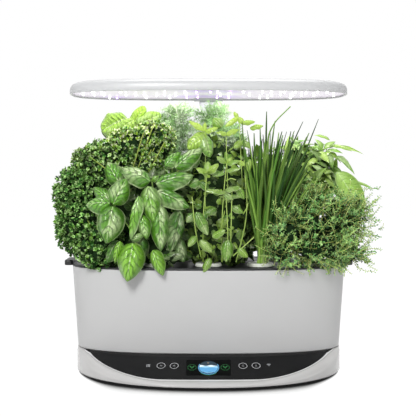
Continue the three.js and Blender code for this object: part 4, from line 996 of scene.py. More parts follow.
class GARDEN_OT_bowl(bpy.types.Operator):
    """Water bowl"""

    bl_idname = "garden.bowl"
    bl_label = "Bowl"

    def execute(self, context):
        shell = context.scene.garden_shell
        wall = [(31.6, 60), (31.6, 9.5), (35.4, 6.9), (38.5, 3.2), (155.0, 3.2)]
        wall += [(155.0, 0), (35.3, 0), (35.3, 6.3), (28.4, 6.3), (28.4, 60)]
        low, high = shell.base_height + 0.3 * MM, shell.bowl_rim_height
        bottom = shell.bowl_bottom_half_width, shell.bowl_bottom_half_depth
        rim = shell.bowl_rim_half_width, shell.bowl_rim_half_depth
        rings = []
        for z, inset in profile(wall, 1.3):
            share = max(0, min(1, (z - low) / (high - low)))
            half_width, half_depth = (a + (b - a) * share - inset for a, b in zip(bottom, rim))
            rings.append(level(plan_ring(half_width, half_depth, half_depth, Slope.power), z))
        plastic = moulded_plastic("bowl_plastic", shell.bowl, 0.38, mottle=0.02)
        moulding("bowl_moulding", loft(rings), plastic, ROOT, "bowl_grey", "grow_bowl")
        rod = turned_skin(profile([(0.1, 31), (2.5, 31), (2.5, 127.6), (0.1, 127.6)], 1), 24, (-0.16, 0.008))
        moulding("gauge_rod", rod, plastic, ROOT, "bowl_grey")
        return {"FINISHED"}


DECK_TOP = 156.5
DECK_UNDERSIDE = 153.6
DECK_RIM = [
    (8, DECK_UNDERSIDE), (6.0, DECK_UNDERSIDE), (6.0, 149.4), (4.1, 149.4), (4.1, 155.4),
    (-0.7, 155.4), (-0.7, 157.9), (1.7, 157.9), (2.4, DECK_TOP), (5, DECK_TOP),
]
POD_HOLE = 17.9


class GARDEN_OT_deck(bpy.types.Operator):
    """Black deck, its lugs and the lid of its filling port"""

    bl_idname = "garden.deck"
    bl_label = "Deck"

    def execute(self, context):
        shell = context.scene.garden_shell
        black = moulded_plastic("deck_plastic", shell.deck, 0.42, grain=500, depth=0.25, mottle=0.2)
        rings = []
        for inset, z in profile(DECK_RIM, 0.9, 4):
            half_depth = shell.bowl_rim_half_depth - inset
            rings.append(level(plan_ring(shell.bowl_rim_half_width - inset, half_depth, half_depth, Slope.power), z))
        parts = [loft(rings, (False, False)), deck_plate(rings[0][:, :2], rings[-1][:, :2])]
        parts += [block(12.6, 46, 4.5, 155.4, 163.2, 1.8, (x, 0)) for x in (-209.0, 209.0)]
        parts += [block(2.9, 5.8, 0.8, 155.4, 161.3, 0.6, (x, 77)) for x in (-18.9, 18.9)]
        moulding("deck_moulding", joined(parts), black, ROOT, "deck_black", "grow_deck")
        lid = block(33.8, 26, 3, 156.9, 159.0, 0.7, (0, 64))
        grip = block(16, 3, 1.4, 158.6, 160.2, 0.7, (0, 55.5))
        points, faces = turned_skin(profile([(0.05, -17), (1.6, -17), (1.6, 17), (0.05, 17)], 0.3), 24)
        barrel = np.stack([points[:, 2], points[:, 0] + 77 * MM, points[:, 1] + 158.7 * MM], axis=1)
        moulding("port_lid", joined([lid, grip, (barrel, faces)]), black, "lid", "deck_black", "fill_port_lid")
        return {"FINISHED"}


def deck_plate(lower_edge, upper_edge):
    """The flat of the deck with its round holes and port: top, underside and the walls of the openings."""
    turns = round_turn(40)
    circle = np.stack([np.cos(turns), np.sin(turns)], axis=1) * POD_HOLE * MM
    openings = [np.array(place) + circle for place in pod_places()]
    openings.append(rounded_rectangle(22.4 * MM, 20.4 * MM, 2 * MM, 4) + vec(0, 64 * MM))
    parts = []
    for edge, z, flip in ((upper_edge, DECK_TOP * MM, False), (lower_edge, DECK_UNDERSIDE * MM, True)):
        sheet = bmesh.new()
        edges = []
        for loop in (edge, *openings):
            corners = [sheet.verts.new((x, y, z)) for x, y in loop]
            edges += [sheet.edges.new(pair) for pair in zip(corners, corners[1:] + corners[:1])]
        bmesh.ops.triangle_fill(sheet, use_beauty=True, edges=edges, normal=(0, 0, 1))
        sheet.verts.index_update()
        points = np.array([v.co[:] for v in sheet.verts])
        faces = []
        for face in sheet.faces:
            corners = [v.index for v in face.verts]
            face.normal_update()
            upright = face.normal.z > 0
            faces.append(tuple(corners if upright != flip else reversed(corners)))
        sheet.free()
        parts.append((points, faces))
    for ring in openings:
        parts.append(loft([level(ring, z * MM) for z in (DECK_TOP, DECK_UNDERSIDE)], (False, False)))
    return joined(parts)


def pod_places():
    """Middles of the nine pods, front row first."""
    pitch = 76 * MM
    front = [(i * pitch, (-33 if abs(i) == 2 else -45) * MM) for i in (-2, -1, 0, 1, 2)]
    return front + [(i * pitch, 42 * MM) for i in (-1.5, -0.5, 0.5, 1.5)]


HERBS = ("parsley", "basil", "mint", "chives", "thyme", "broad_basil", "dill_left", "dill_right", "thai_basil")
POD_WALL = [
    (0.1, 97.9), (12.9, 97.9), (17.0, 156.4), (17.0, 156.9), (19.9, 156.9), (19.9, 158.4),
    (17.9, 161.9), (11.6, 161.9), (11.6, 160.6), (15.6, 158.2), (11.7, 99.5), (0.1, 99.5),
]


class GARDEN_OT_pods(bpy.types.Operator):
    """Nine slotted pods with their collars"""

    bl_idname = "garden.pods"
    bl_label = "Pods"

    def execute(self, context):
        white = moulded_plastic("pod_plastic", linear("e9ece0"), 0.28, coat=0.2)
        for herb, place in zip(HERBS, pod_places()):
            skin = slotted(turned_skin(profile(POD_WALL, 0.6, 4), 64, place), place)
            moulding(f"pod_{herb}", skin, white, ROOT, "pod_plastic", f"pod_basket_{herb}")
        return {"FINISHED"}


def slotted(skin, place):
    """Leaves four upright slots open in the wall of a pod."""
    points, faces = skin
    kept = []
    for face in faces:
        corners = points[list(face)]
        middle = corners.mean(axis=0)
        upright = np.ptp(corners[:, 2]) > 30 * MM
        turn = math.degrees(math.atan2(middle[1] - place[1], middle[0] - place[0])) % 90
        if not (upright and (turn < 8.5 or turn > 81.5)):
            kept.append(face)
    return points, kept


class GARDEN_OT_hood(bpy.types.Operator):
    """Lamp hood and its LED board"""

    bl_idname = "garden.hood"
    bl_label = "Hood"

    def execute(self, context):
        lamp = context.scene.garden_lamp
        hood_shell(lamp)
        led_board(lamp)
        leds(lamp)
        return {"FINISHED"}


def hood_ring(lamp, inset, height):
    """A ring of the hood, drawn in and above its lip by some millimetres."""
    half_depth = lamp.hood_half_depth - inset * MM
    ring = plan_ring(lamp.hood_half_width - inset * MM, half_depth, half_depth, 3, 288)
    return level(ring + vec(0, lamp.hood_back), lamp.hood_lip + height * MM)


def hood_shell(lamp):
    inside = [(84, 19.4), (50, 18.2), (24, 16.4), (11, 14.3), (6, 12.3), (3.6, 9.6), (2.6, 6.0), (2.5, 0.0)]
    outside = [(2.1, 0), (0.5, 0), (0.0, 0.5), (0.05, 5.0), (0.6, 9.4), (1.8, 12.0), (3.5, 13.9), (6, 15.5)]
    outside += [(8.6, 16.7), (14, 18.0), (20, 18.95), (33, 20.3), (48, 21.4), (66, 22.3), (84, 22.8)]
    rings = [hood_ring(lamp, inset, height) for inset, height in inside + outside]
    white = moulded_plastic("hood_plastic", lamp.shell, 0.4, mottle=0.012, depth=0.02, coat=0.1)
    moulding("hood_moulding", loft(rings), white, "hood_stage", "hood_white", "hood_shell", sharp=50)


BOARD_HEIGHT = 2.5


def led_board(lamp):
    """The board under the hood, notched where the arm's head stands; it glows faintly, and painted pools of LED light
    tint it around its LEDs.
    """
    # Painted light: the board glows faintly, in the colour of its painted LED pools
    finish = Finish("led_board_lacquer", Coat_Weight=0.3, Emission_Strength=0.58)
    speckle = finish.cells(240.0)
    colour = finish.mix((speckle * 0.5).clipped(), finish.carried("glow"), blended(lamp.board, (1, 1, 1), 0.6))
    finish.surface(
        Base_Color=finish.mix((speckle * 0.2 + 0.45).clipped(), colour, grey(0.02)),
        Emission_Color=colour,
        Roughness=0.3 + speckle * 0.2,
        Normal=finish.bump(speckle, 0.35, 0.0006),
    )
    rings = [hood_ring(lamp, 3.2, BOARD_HEIGHT + 1.9)]
    rings += [hood_ring(lamp, inset, BOARD_HEIGHT) for inset in (3.2, *np.linspace(4.0, 95, 40))]
    points, faces = loft(rings)
    kept = []
    for face in faces:
        middle = points[list(face)].mean(axis=0)
        if abs(middle[0]) >= 24 * MM or middle[1] <= 94 * MM:
            kept.append(face)
    piece = moulding("led_board_sheet", (points, kept), finish.material, "hood_stage", "led_board", "led_board")
    spots = np.array([vertex.co[:] for vertex in piece.data.vertices])
    glow = np.tile(np.array(lamp.board), (len(spots), 1))
    # Painted pools of LED light: wide and purple round the purple LEDs, small and white round the white ones
    for x, y, purple in led_places(lamp):
        near = np.hypot(spots[:, 0] - x, spots[:, 1] - y)
        reach, most, target = (42, 0.85, lamp.purple) if purple else (12, 0.8, (1.0, 1.0, 1.0))
        share = np.clip(1 - near / (reach * MM), 0, 1)[:, None] ** 1.5 * most
        glow = glow * (1 - share) + np.array(target) * share
    carry(piece.data, "glow", glow)


def carry(mesh, name, colours):
    """Stores a colour on each point of a mesh."""
    layer = mesh.color_attributes.new(name, "FLOAT_COLOR", "POINT")
    layer.data.foreach_set("color", np.column_stack([colours, np.ones(len(colours))]).astype(np.float32).ravel())


def leds(lamp):
    package = moulded_plastic("led_package", linear("f4f2ea"), 0.3)
    white = glowing("led_white", (1.0, 1.0, 1.0), lamp.glow, 0.2)
    purple = glowing("led_purple", linear("c9a2ff"), lamp.glow, 0.2)
    board = lamp.hood_lip + BOARD_HEIGHT * MM
    skins, slots = [], []
    for x, y, is_purple in led_places(lamp):
        for size, top, bottom, slot in ((4.2, 0.2, -0.8, 0), (2.8, -0.8, -2.9, 2 if is_purple else 1)):
            rings = []
            for inset, height in filleted([(size * 0.3, bottom), (0.0, bottom), (0.0, top)], 0.35 + slot * 0.4, 3):
                side = (size - 2 * inset) * MM
                rings.append(level(rounded_rectangle(side, side, 0.5 * MM, 3) + vec(x, y), board + height * MM))
            skins.append(loft(rings))
            slots += [slot] * len(skins[-1][1])
    piece = moulding("led_packages", joined(skins), [package, white, purple], "hood_stage", "led_board")
    lay_finishes(piece, slots)


def led_places(lamp):
    """Where the LEDs sit, and which of them are purple."""
    columns, rows = 25, 3
    head_half, head_front = 23.5 * MM, 94.5 * MM
    side = 5 * MM
    draw = np.random.default_rng(11)
    places = []
    for column in range(columns):
        for row in range(rows):
            across = (2 * column + 1) / columns - 1
            back = (2 * row + 1) / rows - 1
            shift = draw.uniform(-1, 1, 2)
            x = across * 0.95 * lamp.hood_half_width + shift[0] * 3.5 * MM
            y = lamp.hood_back + (back * 0.72) * lamp.hood_half_depth + shift[1] * 9 * MM
            depth = (y - lamp.hood_back) / lamp.hood_half_depth
            fits = abs(x / lamp.hood_half_width) ** 3 + abs(depth) ** 3 < 0.8
            clear = abs(x) > head_half + side or y < head_front - 2 * side
            if fits and clear and draw.random() < 0.6:
                purple = abs(column - 12) < 3 and draw.random() < 0.75
                places.append((x, y, purple or draw.random() < 0.05))
    return places


POST_BACK = 102.5


class GARDEN_OT_arm(bpy.types.Operator):
    """Telescopic arm: three posts, the collar, the latch and the head"""

    bl_idname = "garden.arm"
    bl_label = "Arm"

    def execute(self, context):
        shell, lamp = context.scene.garden_shell, context.scene.garden_lamp
        pale = moulded_plastic("arm_plastic", shell.shell, 0.3, coat=0.1)
        white = moulded_plastic("upper_arm_plastic", lamp.shell, 0.26, mottle=0.015, coat=0.2)
        dark = moulded_plastic("latch_plastic", linear("2a2b2d"), 0.35, grain=500, depth=0.2)
        outer = [post(38.4, 21.3, 2.0, 4.7, 249.9), *latch_frame()]
        moulding("outer_post_moulding", joined(outer), pale, ROOT, "shell_grey", "outer_post")
        middle = post(33.6, 16.5, 1.7, 45.2, 329.9)
        moulding("middle_post_moulding", middle, white, "middle_stage", "hood_white", "middle_post")
        upper = post(29.4, 12.3, 1.6, 90.2, 417.8)
        moulding("upper_post_moulding", upper, white, "hood_stage", "hood_white", "upper_post")
        collar = band(47.0, 29.2, 38.8, 21.9, 35.4, 50.2, shift=4)
        moulding("collar_moulding", collar, pale, ROOT, "shell_grey", "arm_collar")
        head = band(46.8, 15.8, 29.9, 12.9, 409.9, 421.4)
        moulding("head_moulding", head, white, "hood_stage", "hood_white", "arm_head")
        cap = [block(18.2, 6.6, 1.5, 220.9, 243.1, 1.2, (0, POST_BACK + 19.3))]
        cap += [block(12, 1.0, 0.4, z, z + 1.0, 0.3, (0, POST_BACK + 22.75)) for z in (226, 229, 232, 235, 238)]
        moulding("release_cap", joined(cap), dark, "release", "button_plastic", "release_button")
        return {"FINISHED"}


def band(width, depth, inner_width, inner_depth, z0, z1, shift=0.0):
    """An upright ring between two rounded rectangles, the outer one shifted back."""
    rings = []
    for share, z in filleted([(1, z0), (0, z0), (0, z1), (1, z1)], 0.8, 4):
        ring = rounded_rectangle((width - 1.6 * share) * MM, (depth - 1.6 * share) * MM, 4 * MM)
        rings.append(level(ring + vec(0, (POST_BACK + shift) * MM), z * MM))
    for z in (z1, z0):
        ring = rounded_rectangle(inner_width * MM, inner_depth * MM, 3.5 * MM)
        rings.append(level(ring + vec(0, POST_BACK * MM), z * MM))
    return loft([*rings, rings[0]], (False, False))


def post(width, depth, wall, z0, z1):
    return band(width, depth, width - 2 * wall, depth - 2 * wall, z0, z1)


def latch_frame():
    """The raised frame on the outer post around the release button."""
    back = POST_BACK + 14.6
    frame_skins = [block(23.8, 9.6, 1.6, low, high, 0.6, (0, back)) for low, high in ((218.1, 220.4), (243.6, 245.9))]
    frame_skins += [block(2.3, 9.6, 0.9, 218.6, 245.4, 0.5, (x, back)) for x in (-10.7, 10.7)]
    return [*frame_skins, block(21, 2.4, 0.6, 219, 245, 0.4, (0, POST_BACK + 11.6))]


class GARDEN_OT_fittings(bpy.types.Operator):
    """Finishes of the solids that stay as they are: feet, plate, pump, boards, sponges and screws"""

    bl_idname = "garden.fittings"
    bl_label = "Fittings"

    def execute(self, context):
        shell = context.scene.garden_shell
        dark = moulded_plastic("plate_plastic", shell.skirt, 0.5, grain=400, depth=0.3, mottle=0.2)
        black = moulded_plastic("pump_plastic", linear("26282b"), 0.45, grain=400, depth=0.2)
        white = moulded_plastic("impeller_plastic", linear("e8e8e6"), 0.35)
        finishes = {
            "base_plate": dark,
            "power_jack": black,
            "pump_housing": black,
            "pump_impeller": white,
            "pump_filter": porous("filter_foam", linear("23262b"), linear("4a4f57"), 700.0),
            "riser_tube": clear_plastic("riser_plastic", linear("dfe8ea")),
            "level_float": moulded_plastic("float_plastic", linear("e0913a"), 0.5),
            "main_board": circuit_board("board_lacquer", linear("1f5a38")),
            "heat_spreader": bare_metal("spreader_aluminium", linear("c9cbcc"), 0.3),
        }
        steel = bare_metal("screw_steel", linear("c0c0c0"), 0.22)
        foot = rubber("foot_rubber", linear("161616"))
        peat = porous("sponge_peat", linear("1c120a"), linear("4a3321"), 900.0)
        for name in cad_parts:
            if name.startswith("foot_"):
                finishes[name] = foot
            elif name.startswith("hood_screw_"):
                finishes[name] = steel
            elif name.startswith("grow_sponge_"):
                finishes[name] = peat
        for name, material in finishes.items():
            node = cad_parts[name]
            for slot in node.material_slots:
                slot.material = material
        return {"FINISHED"}


# Herbs


def unit(vectors):
    return vectors / np.maximum(np.linalg.norm(vectors, axis=-1, keepdims=True), 1e-9)


def turns_to(along, facing):
    """Turns that bring +Y onto a direction, and +Z as near as it can come to another."""
    y = unit(along)
    x = unit(np.cross(y, facing))
    return np.stack([x, y, np.cross(x, y)], axis=-1)


def grid_faces(across, along):
    first = (np.arange(along)[:, None] * (across + 1) + np.arange(across)).ravel()
    return np.stack([first, first + 1, first + across + 2, first + across + 1], axis=1)


def ovate(v, low, high):
    """Width of a leaf along its length, widest at low / (low + high)."""
    widest = low / (low + high)
    peak = widest**low * (1 - widest) ** high
    return np.clip(v, 0, 1) ** low * np.clip(1 - v, 0, 1) ** high / peak


def leaf_form(
    low, high, across, along, cup, arch=0.0, droop=0.0, pucker=0.0, veins=6, teeth=0,
    wave=0.0, phase=0.0, gull=0.0, slant=1.3,
):
    """A leaf one long and one wide that lies along +Y and faces +Z, as points, faces and UVs."""
    u, v = np.meshgrid(np.linspace(-1, 1, across + 1), np.linspace(0, 1, along + 1))
    width = ovate(v, low, high)
    width[0] = np.maximum(width[0], 0.06)
    width[-1] = 0.012
    notch = 1 - 0.09 * ((v * teeth) % 1) * np.abs(u) ** 6 if teeth else 1
    x = 0.5 * u * width * notch
    ribs = np.abs(np.sin(math.pi * (v * veins - np.abs(u) * slant))) ** 0.7 * (1 - u**4) * width
    z = cup * u**2 * width + arch * 4 * v * (1 - v) - droop * v**2
    z = z + gull * np.sin(math.pi * np.abs(u) ** 0.8) * width
    z = z + pucker * (ribs - 0.4 * np.exp(-((u * 5) ** 2)) * width)
    z = z + wave * np.sin(v * 13 + np.sign(u) * 1.1 + phase) * u**2 * width
    points = np.stack([x, v, z], axis=-1).reshape(-1, 3)
    uv = np.stack([u * 0.5 + 0.5, v], axis=-1).reshape(-1, 2)
    return points, grid_faces(across, along), uv


def frill_form(draw, rings, sides, waves, ruffle, cup):
    """A curled leaflet: a cupped disc whose rim is ruffled, one wide and open to +Z."""
    turn = round_turn(sides)
    points, uv = [], []
    first, second = draw.uniform(0, 6.28, 2)
    for ring in range(rings + 1):
        r = 0.08 + 0.92 * ring / rings
        reach = r * (0.86 + 0.14 * np.sin(5 * turn + first))
        curls = np.sin(waves * turn + second) + 0.6 * np.sin((2 * waves - 3) * turn + first)
        lift = cup * r**2 + ruffle * r**2 * curls
        points.append(np.stack([0.5 * reach * np.cos(turn), 0.5 * reach * np.sin(turn), 0.5 * lift], axis=1))
        uv.append(np.stack([turn / (2 * math.pi), np.full(sides, r)], axis=1))
    faces = []
    for ring in range(rings):
        for i in range(sides):
            j = (i + 1) % sides
            faces.append((ring * sides + i, ring * sides + j, (ring + 1) * sides + j, (ring + 1) * sides + i)[::-1])
    return np.concatenate(points), np.array(faces), np.concatenate(uv)


def bent(starts, ends, bulge, steps):
    """Curves between points, pushed aside at their middles."""
    t = np.linspace(0, 1, steps)[None, :, None]
    middle = (starts + ends) / 2 + bulge
    return (1 - t) ** 2 * starts[:, None] + 2 * t * (1 - t) * middle[:, None] + t**2 * ends[:, None]


def on_balls(draw, balls, count):
    """Places all over a heap of rounded lumps, with the way out of each and the lump that it is on."""
    areas = np.array([(w * d + d * h + w * h) for _, (w, d, h) in balls])
    places, outward, owner = [], [], []
    for number, (centre, radii) in enumerate(balls):
        n = int(count * areas[number] / areas.sum())
        way = unit(draw.normal(size=(n, 3)))
        place = np.array(centre) + way * np.array(radii)
        clear = np.ones(n, bool)
        for other, (far, reach) in enumerate(balls):
            if other != number:
                clear &= np.linalg.norm((place - np.array(far)) / np.array(reach), axis=1) > 0.9
        places.append(place[clear])
        outward.append(unit(way / np.array(radii))[clear])
        owner.append(np.full(clear.sum(), number))
    return np.concatenate(places) * MM, np.concatenate(outward), np.concatenate(owner)


class Foliage:
    """Collects leaves, blades and stems, and makes one mesh of them."""

    def __init__(self, seed):
        self.draw = np.random.default_rng(seed)
        self.parts = []
        self.count = 0

    def add(self, points, faces, uv, tones, slot):
        """Takes points, quads, UVs and tones; slot says which material the quads have."""
        tones = np.broadcast_to(tones, (len(points), 3))
        self.parts.append((points, faces + self.count, uv, tones, np.full(len(faces), slot)))
        self.count += len(points)

    def scatter(self, form, places, turns, sizes, tones):
        """Copies of a form, each with its place, turn, size and tone."""
        points, faces, uv = form
        moved = np.einsum("nij,pj,nj->npi", turns, points, sizes) + places[:, None]
        n, p = moved.shape[:2]
        all_faces = faces[None] + (np.arange(n) * p)[:, None, None]
        self.add(moved.reshape(-1, 3), all_faces.reshape(-1, 4), np.tile(uv, (n, 1)), np.repeat(tones, p, axis=0), 0)

    def leaves(self, forms, bases, tips, facing, widths, tones):
        """Leaves from their bases to their tips, each of a form drawn by chance."""
        lengths = np.linalg.norm(tips - bases, axis=1)
        turns = turns_to(tips - bases, facing)
        sizes = np.stack([widths, lengths, widths], axis=1)
        picks = self.draw.integers(0, len(forms), len(bases))
        for number, form in enumerate(forms):
            mine = picks == number
            if mine.any():
                self.scatter(form, bases[mine], turns[mine], sizes[mine], tones[mine])

    def tubes(self, paths, radii, tones, sides=5, slot=1):
        """Round stems along paths of equal numbers of points, with a radius at each."""
        n, k = paths.shape[:2]
        ahead = unit(np.gradient(paths, axis=1))
        aside = unit(np.cross(ahead, vec(0.31, 0.87, 0.38)))
        other = np.cross(ahead, aside)
        turn = np.linspace(0, 2 * math.pi, sides + 1)
        rim = aside[:, :, None] * np.cos(turn)[:, None] + other[:, :, None] * np.sin(turn)[:, None]
        radii = np.broadcast_to(radii, (n, k))
        points = paths[:, :, None] + rim * radii[:, :, None, None]
        faces = grid_faces(sides, k - 1)[None] + (np.arange(n) * k * (sides + 1))[:, None, None]
        u, v = np.meshgrid(np.linspace(0, 1, sides + 1), np.linspace(0, 1, k))
        uv = np.stack([u, v], axis=-1).reshape(-1, 2)
        tones = np.repeat(np.broadcast_to(tones, (n, 3)), k * (sides + 1), axis=0)
        self.add(points.reshape(-1, 3), faces.reshape(-1, 4), np.tile(uv, (n, 1)), tones, slot)

    def ribbons(self, starts, ends, widths, tones):
        """Thread-like leaflets, one face each."""
        n = len(starts)
        side = unit(np.cross(ends - starts, self.draw.normal(size=(n, 3)))) * widths[:, None] / 2
        points = np.stack([starts - side, starts + side, ends + side * 0.4, ends - side * 0.4], axis=1)
        faces = np.arange(n * 4).reshape(n, 4)
        uv = np.tile(np.array([(0, 0), (1, 0), (1, 1), (0, 1)], float), (n, 1))
        self.add(points.reshape(-1, 3), faces, uv, np.repeat(tones, 4, axis=0), 0)

    def stalks(self, crown, balls, each, stray, lift, radii, tone):
        """Bent stems from a crown to all over the lumps of a heap."""
        ends = np.array([np.array(c) * MM for c, _ in balls for _ in range(each)])
        ends = ends + self.draw.normal(size=ends.shape) * stray * MM
        starts = np.array(crown) * MM + self.draw.normal(size=ends.shape) * vec(4, 4, 0) * MM
        steps = 9
        self.tubes(bent(starts, ends, vec(0, 0, lift * MM), steps), np.linspace(*radii, steps) * MM, tone)

    def core(self, balls, share, tone):
        """The shaded heart of a heap: rough lumps, darkened by their tone as painted shade, that only show between the
        leaves.
        """
        rows, columns = 14, 24
        turns = np.linspace(0.02, math.pi - 0.02, rows + 1), np.linspace(0, 2 * math.pi, columns + 1)
        v, u = np.meshgrid(*turns, indexing="ij")
        for centre, radii in balls:
            lumps = 0.16 * np.sin(5 * u + 3 * v) * np.sin(4 * v - 2 * u) + 0.08 * np.sin(9 * u) * np.sin(v) ** 2
            rough = share * (1 + lumps)
            way = np.stack([np.sin(v) * np.cos(u), np.sin(v) * np.sin(u), np.cos(v)], axis=-1)
            points = (np.array(centre) + way * rough[..., None] * np.array(radii)) * MM
            uv = np.stack([u / (2 * math.pi), v / math.pi], axis=-1).reshape(-1, 2)
            self.add(points.reshape(-1, 3), grid_faces(columns, rows)[:, ::-1], uv, np.array(tone), 0)

    def mesh(self, name, materials):
        points, faces, uv, tones, slots = (np.concatenate(group) for group in zip(*self.parts))
        mesh = bpy.data.meshes.new(name)
        mesh.vertices.add(len(points))
        mesh.vertices.foreach_set("co", points.astype(np.float32).ravel())
        mesh.loops.add(faces.size)
        mesh.loops.foreach_set("vertex_index", faces.astype(np.int32).ravel())
        mesh.polygons.add(len(faces))
        mesh.polygons.foreach_set("loop_start", np.arange(0, faces.size, 4, dtype=np.int32))
        mesh.polygons.foreach_set("material_index", slots.astype(np.int32))
        mesh.update(calc_edges=True)
        layer = mesh.uv_layers.new(name="leaf")
        layer.data.foreach_set("uv", uv[faces.ravel()].astype(np.float32).ravel())
        carry(mesh, "tone", tones)
        return dressed(name, mesh, materials)


class Sight:
    """Places as the camera sees them: across and down its picture, and millimetres behind the garden's middle."""

    middle = (208.5, 170)

    def __init__(self, stage):
        self.distance = stage.camera_distance
        self.height = stage.camera_height
        self.focal = stage.focal_length / SENSOR * PICTURE

    def place(self, across, down, depth):
        reach = (self.distance + depth * MM) / self.focal
        return np.array([(across - self.middle[0]) * reach, depth * MM, self.height - (down - self.middle[1]) * reach])

    def leaves(self, foliage, forms, rows):
        """Leaves given as base and tip, each as seen, width in the picture, youth, shade, and the way they face."""
        bases, tips, widths, youth, shade, ways = zip(*rows)
        depths = np.array([base[2] for base in bases])
        widths = np.array(widths) * (self.distance + depths * MM) / self.focal
        chance = [foliage.draw.uniform(0.3, 1) for _ in rows]
        tones = np.clip(np.column_stack([chance, youth, shade]), 0, 1)
        bases, tips = (np.array([self.place(*spot) for spot in spots]) for spots in (bases, tips))
        foliage.leaves(forms, bases, tips, np.array(ways, float), widths, tones)

    def stems(self, foliage, paths, radius, tone):
        for path in paths:
            line = np.array(filleted([self.place(*spot) for spot in path], 30 * MM, 6))
            radii = np.linspace(radius, radius * 0.6, len(line)) * MM
            foliage.tubes(line[None], radii[None], tone, 6)


def planting(context, number):
    """The herbs' settings, the camera's sight, and foliage with a run of chance of its own."""
    herbs = context.scene.garden_herbs
    return herbs, Sight(context.scene.garden_stage), Foliage(herbs.seed + number)


def hand_over(foliage, herb, materials, slot):
    """One herb's foliage, in place of its solid."""
    finish_piece(foliage.mesh(f"{herb}_growth", materials), ROOT, slot, f"{herb}_plant")
    return {"FINISHED"}


def nodes_along(draw, paths, first):
    """Step by step along paths: the places there, the way ahead, and a way aside by chance."""
    for step in range(first, paths.shape[1]):
        ahead = unit(paths[:, step] - paths[:, step - 1])
        yield step, paths[:, step], ahead, unit(np.cross(ahead, draw.normal(size=ahead.shape)))


def outward_leaves(foliage, forms, places, outward, length, width, tones, rise, hang):
    """Leaves that stand off a heap's surface, each turned by chance."""
    draw = foliage.draw
    n = len(places)
    aside = unit(np.cross(outward, draw.normal(size=(n, 3))))
    ways = unit(outward * rise + aside + vec(0, 0, -hang))
    lengths = length * draw.uniform(0.7, 1.2, n) * MM
    tips = places + ways * lengths[:, None]
    facing = unit(outward + vec(0, 0, 0.5) + 0.35 * draw.normal(size=(n, 3)))
    foliage.leaves(forms, places - ways * 0.1 * lengths[:, None], tips, facing, width / length * lengths, tones)


def chance_tones(draw, n, youth=(0.0, 0.2), shade=(0.0, 0.2)):
    return np.stack([draw.uniform(0, 1, n), draw.uniform(*youth, n), draw.uniform(*shade, n)], axis=1)


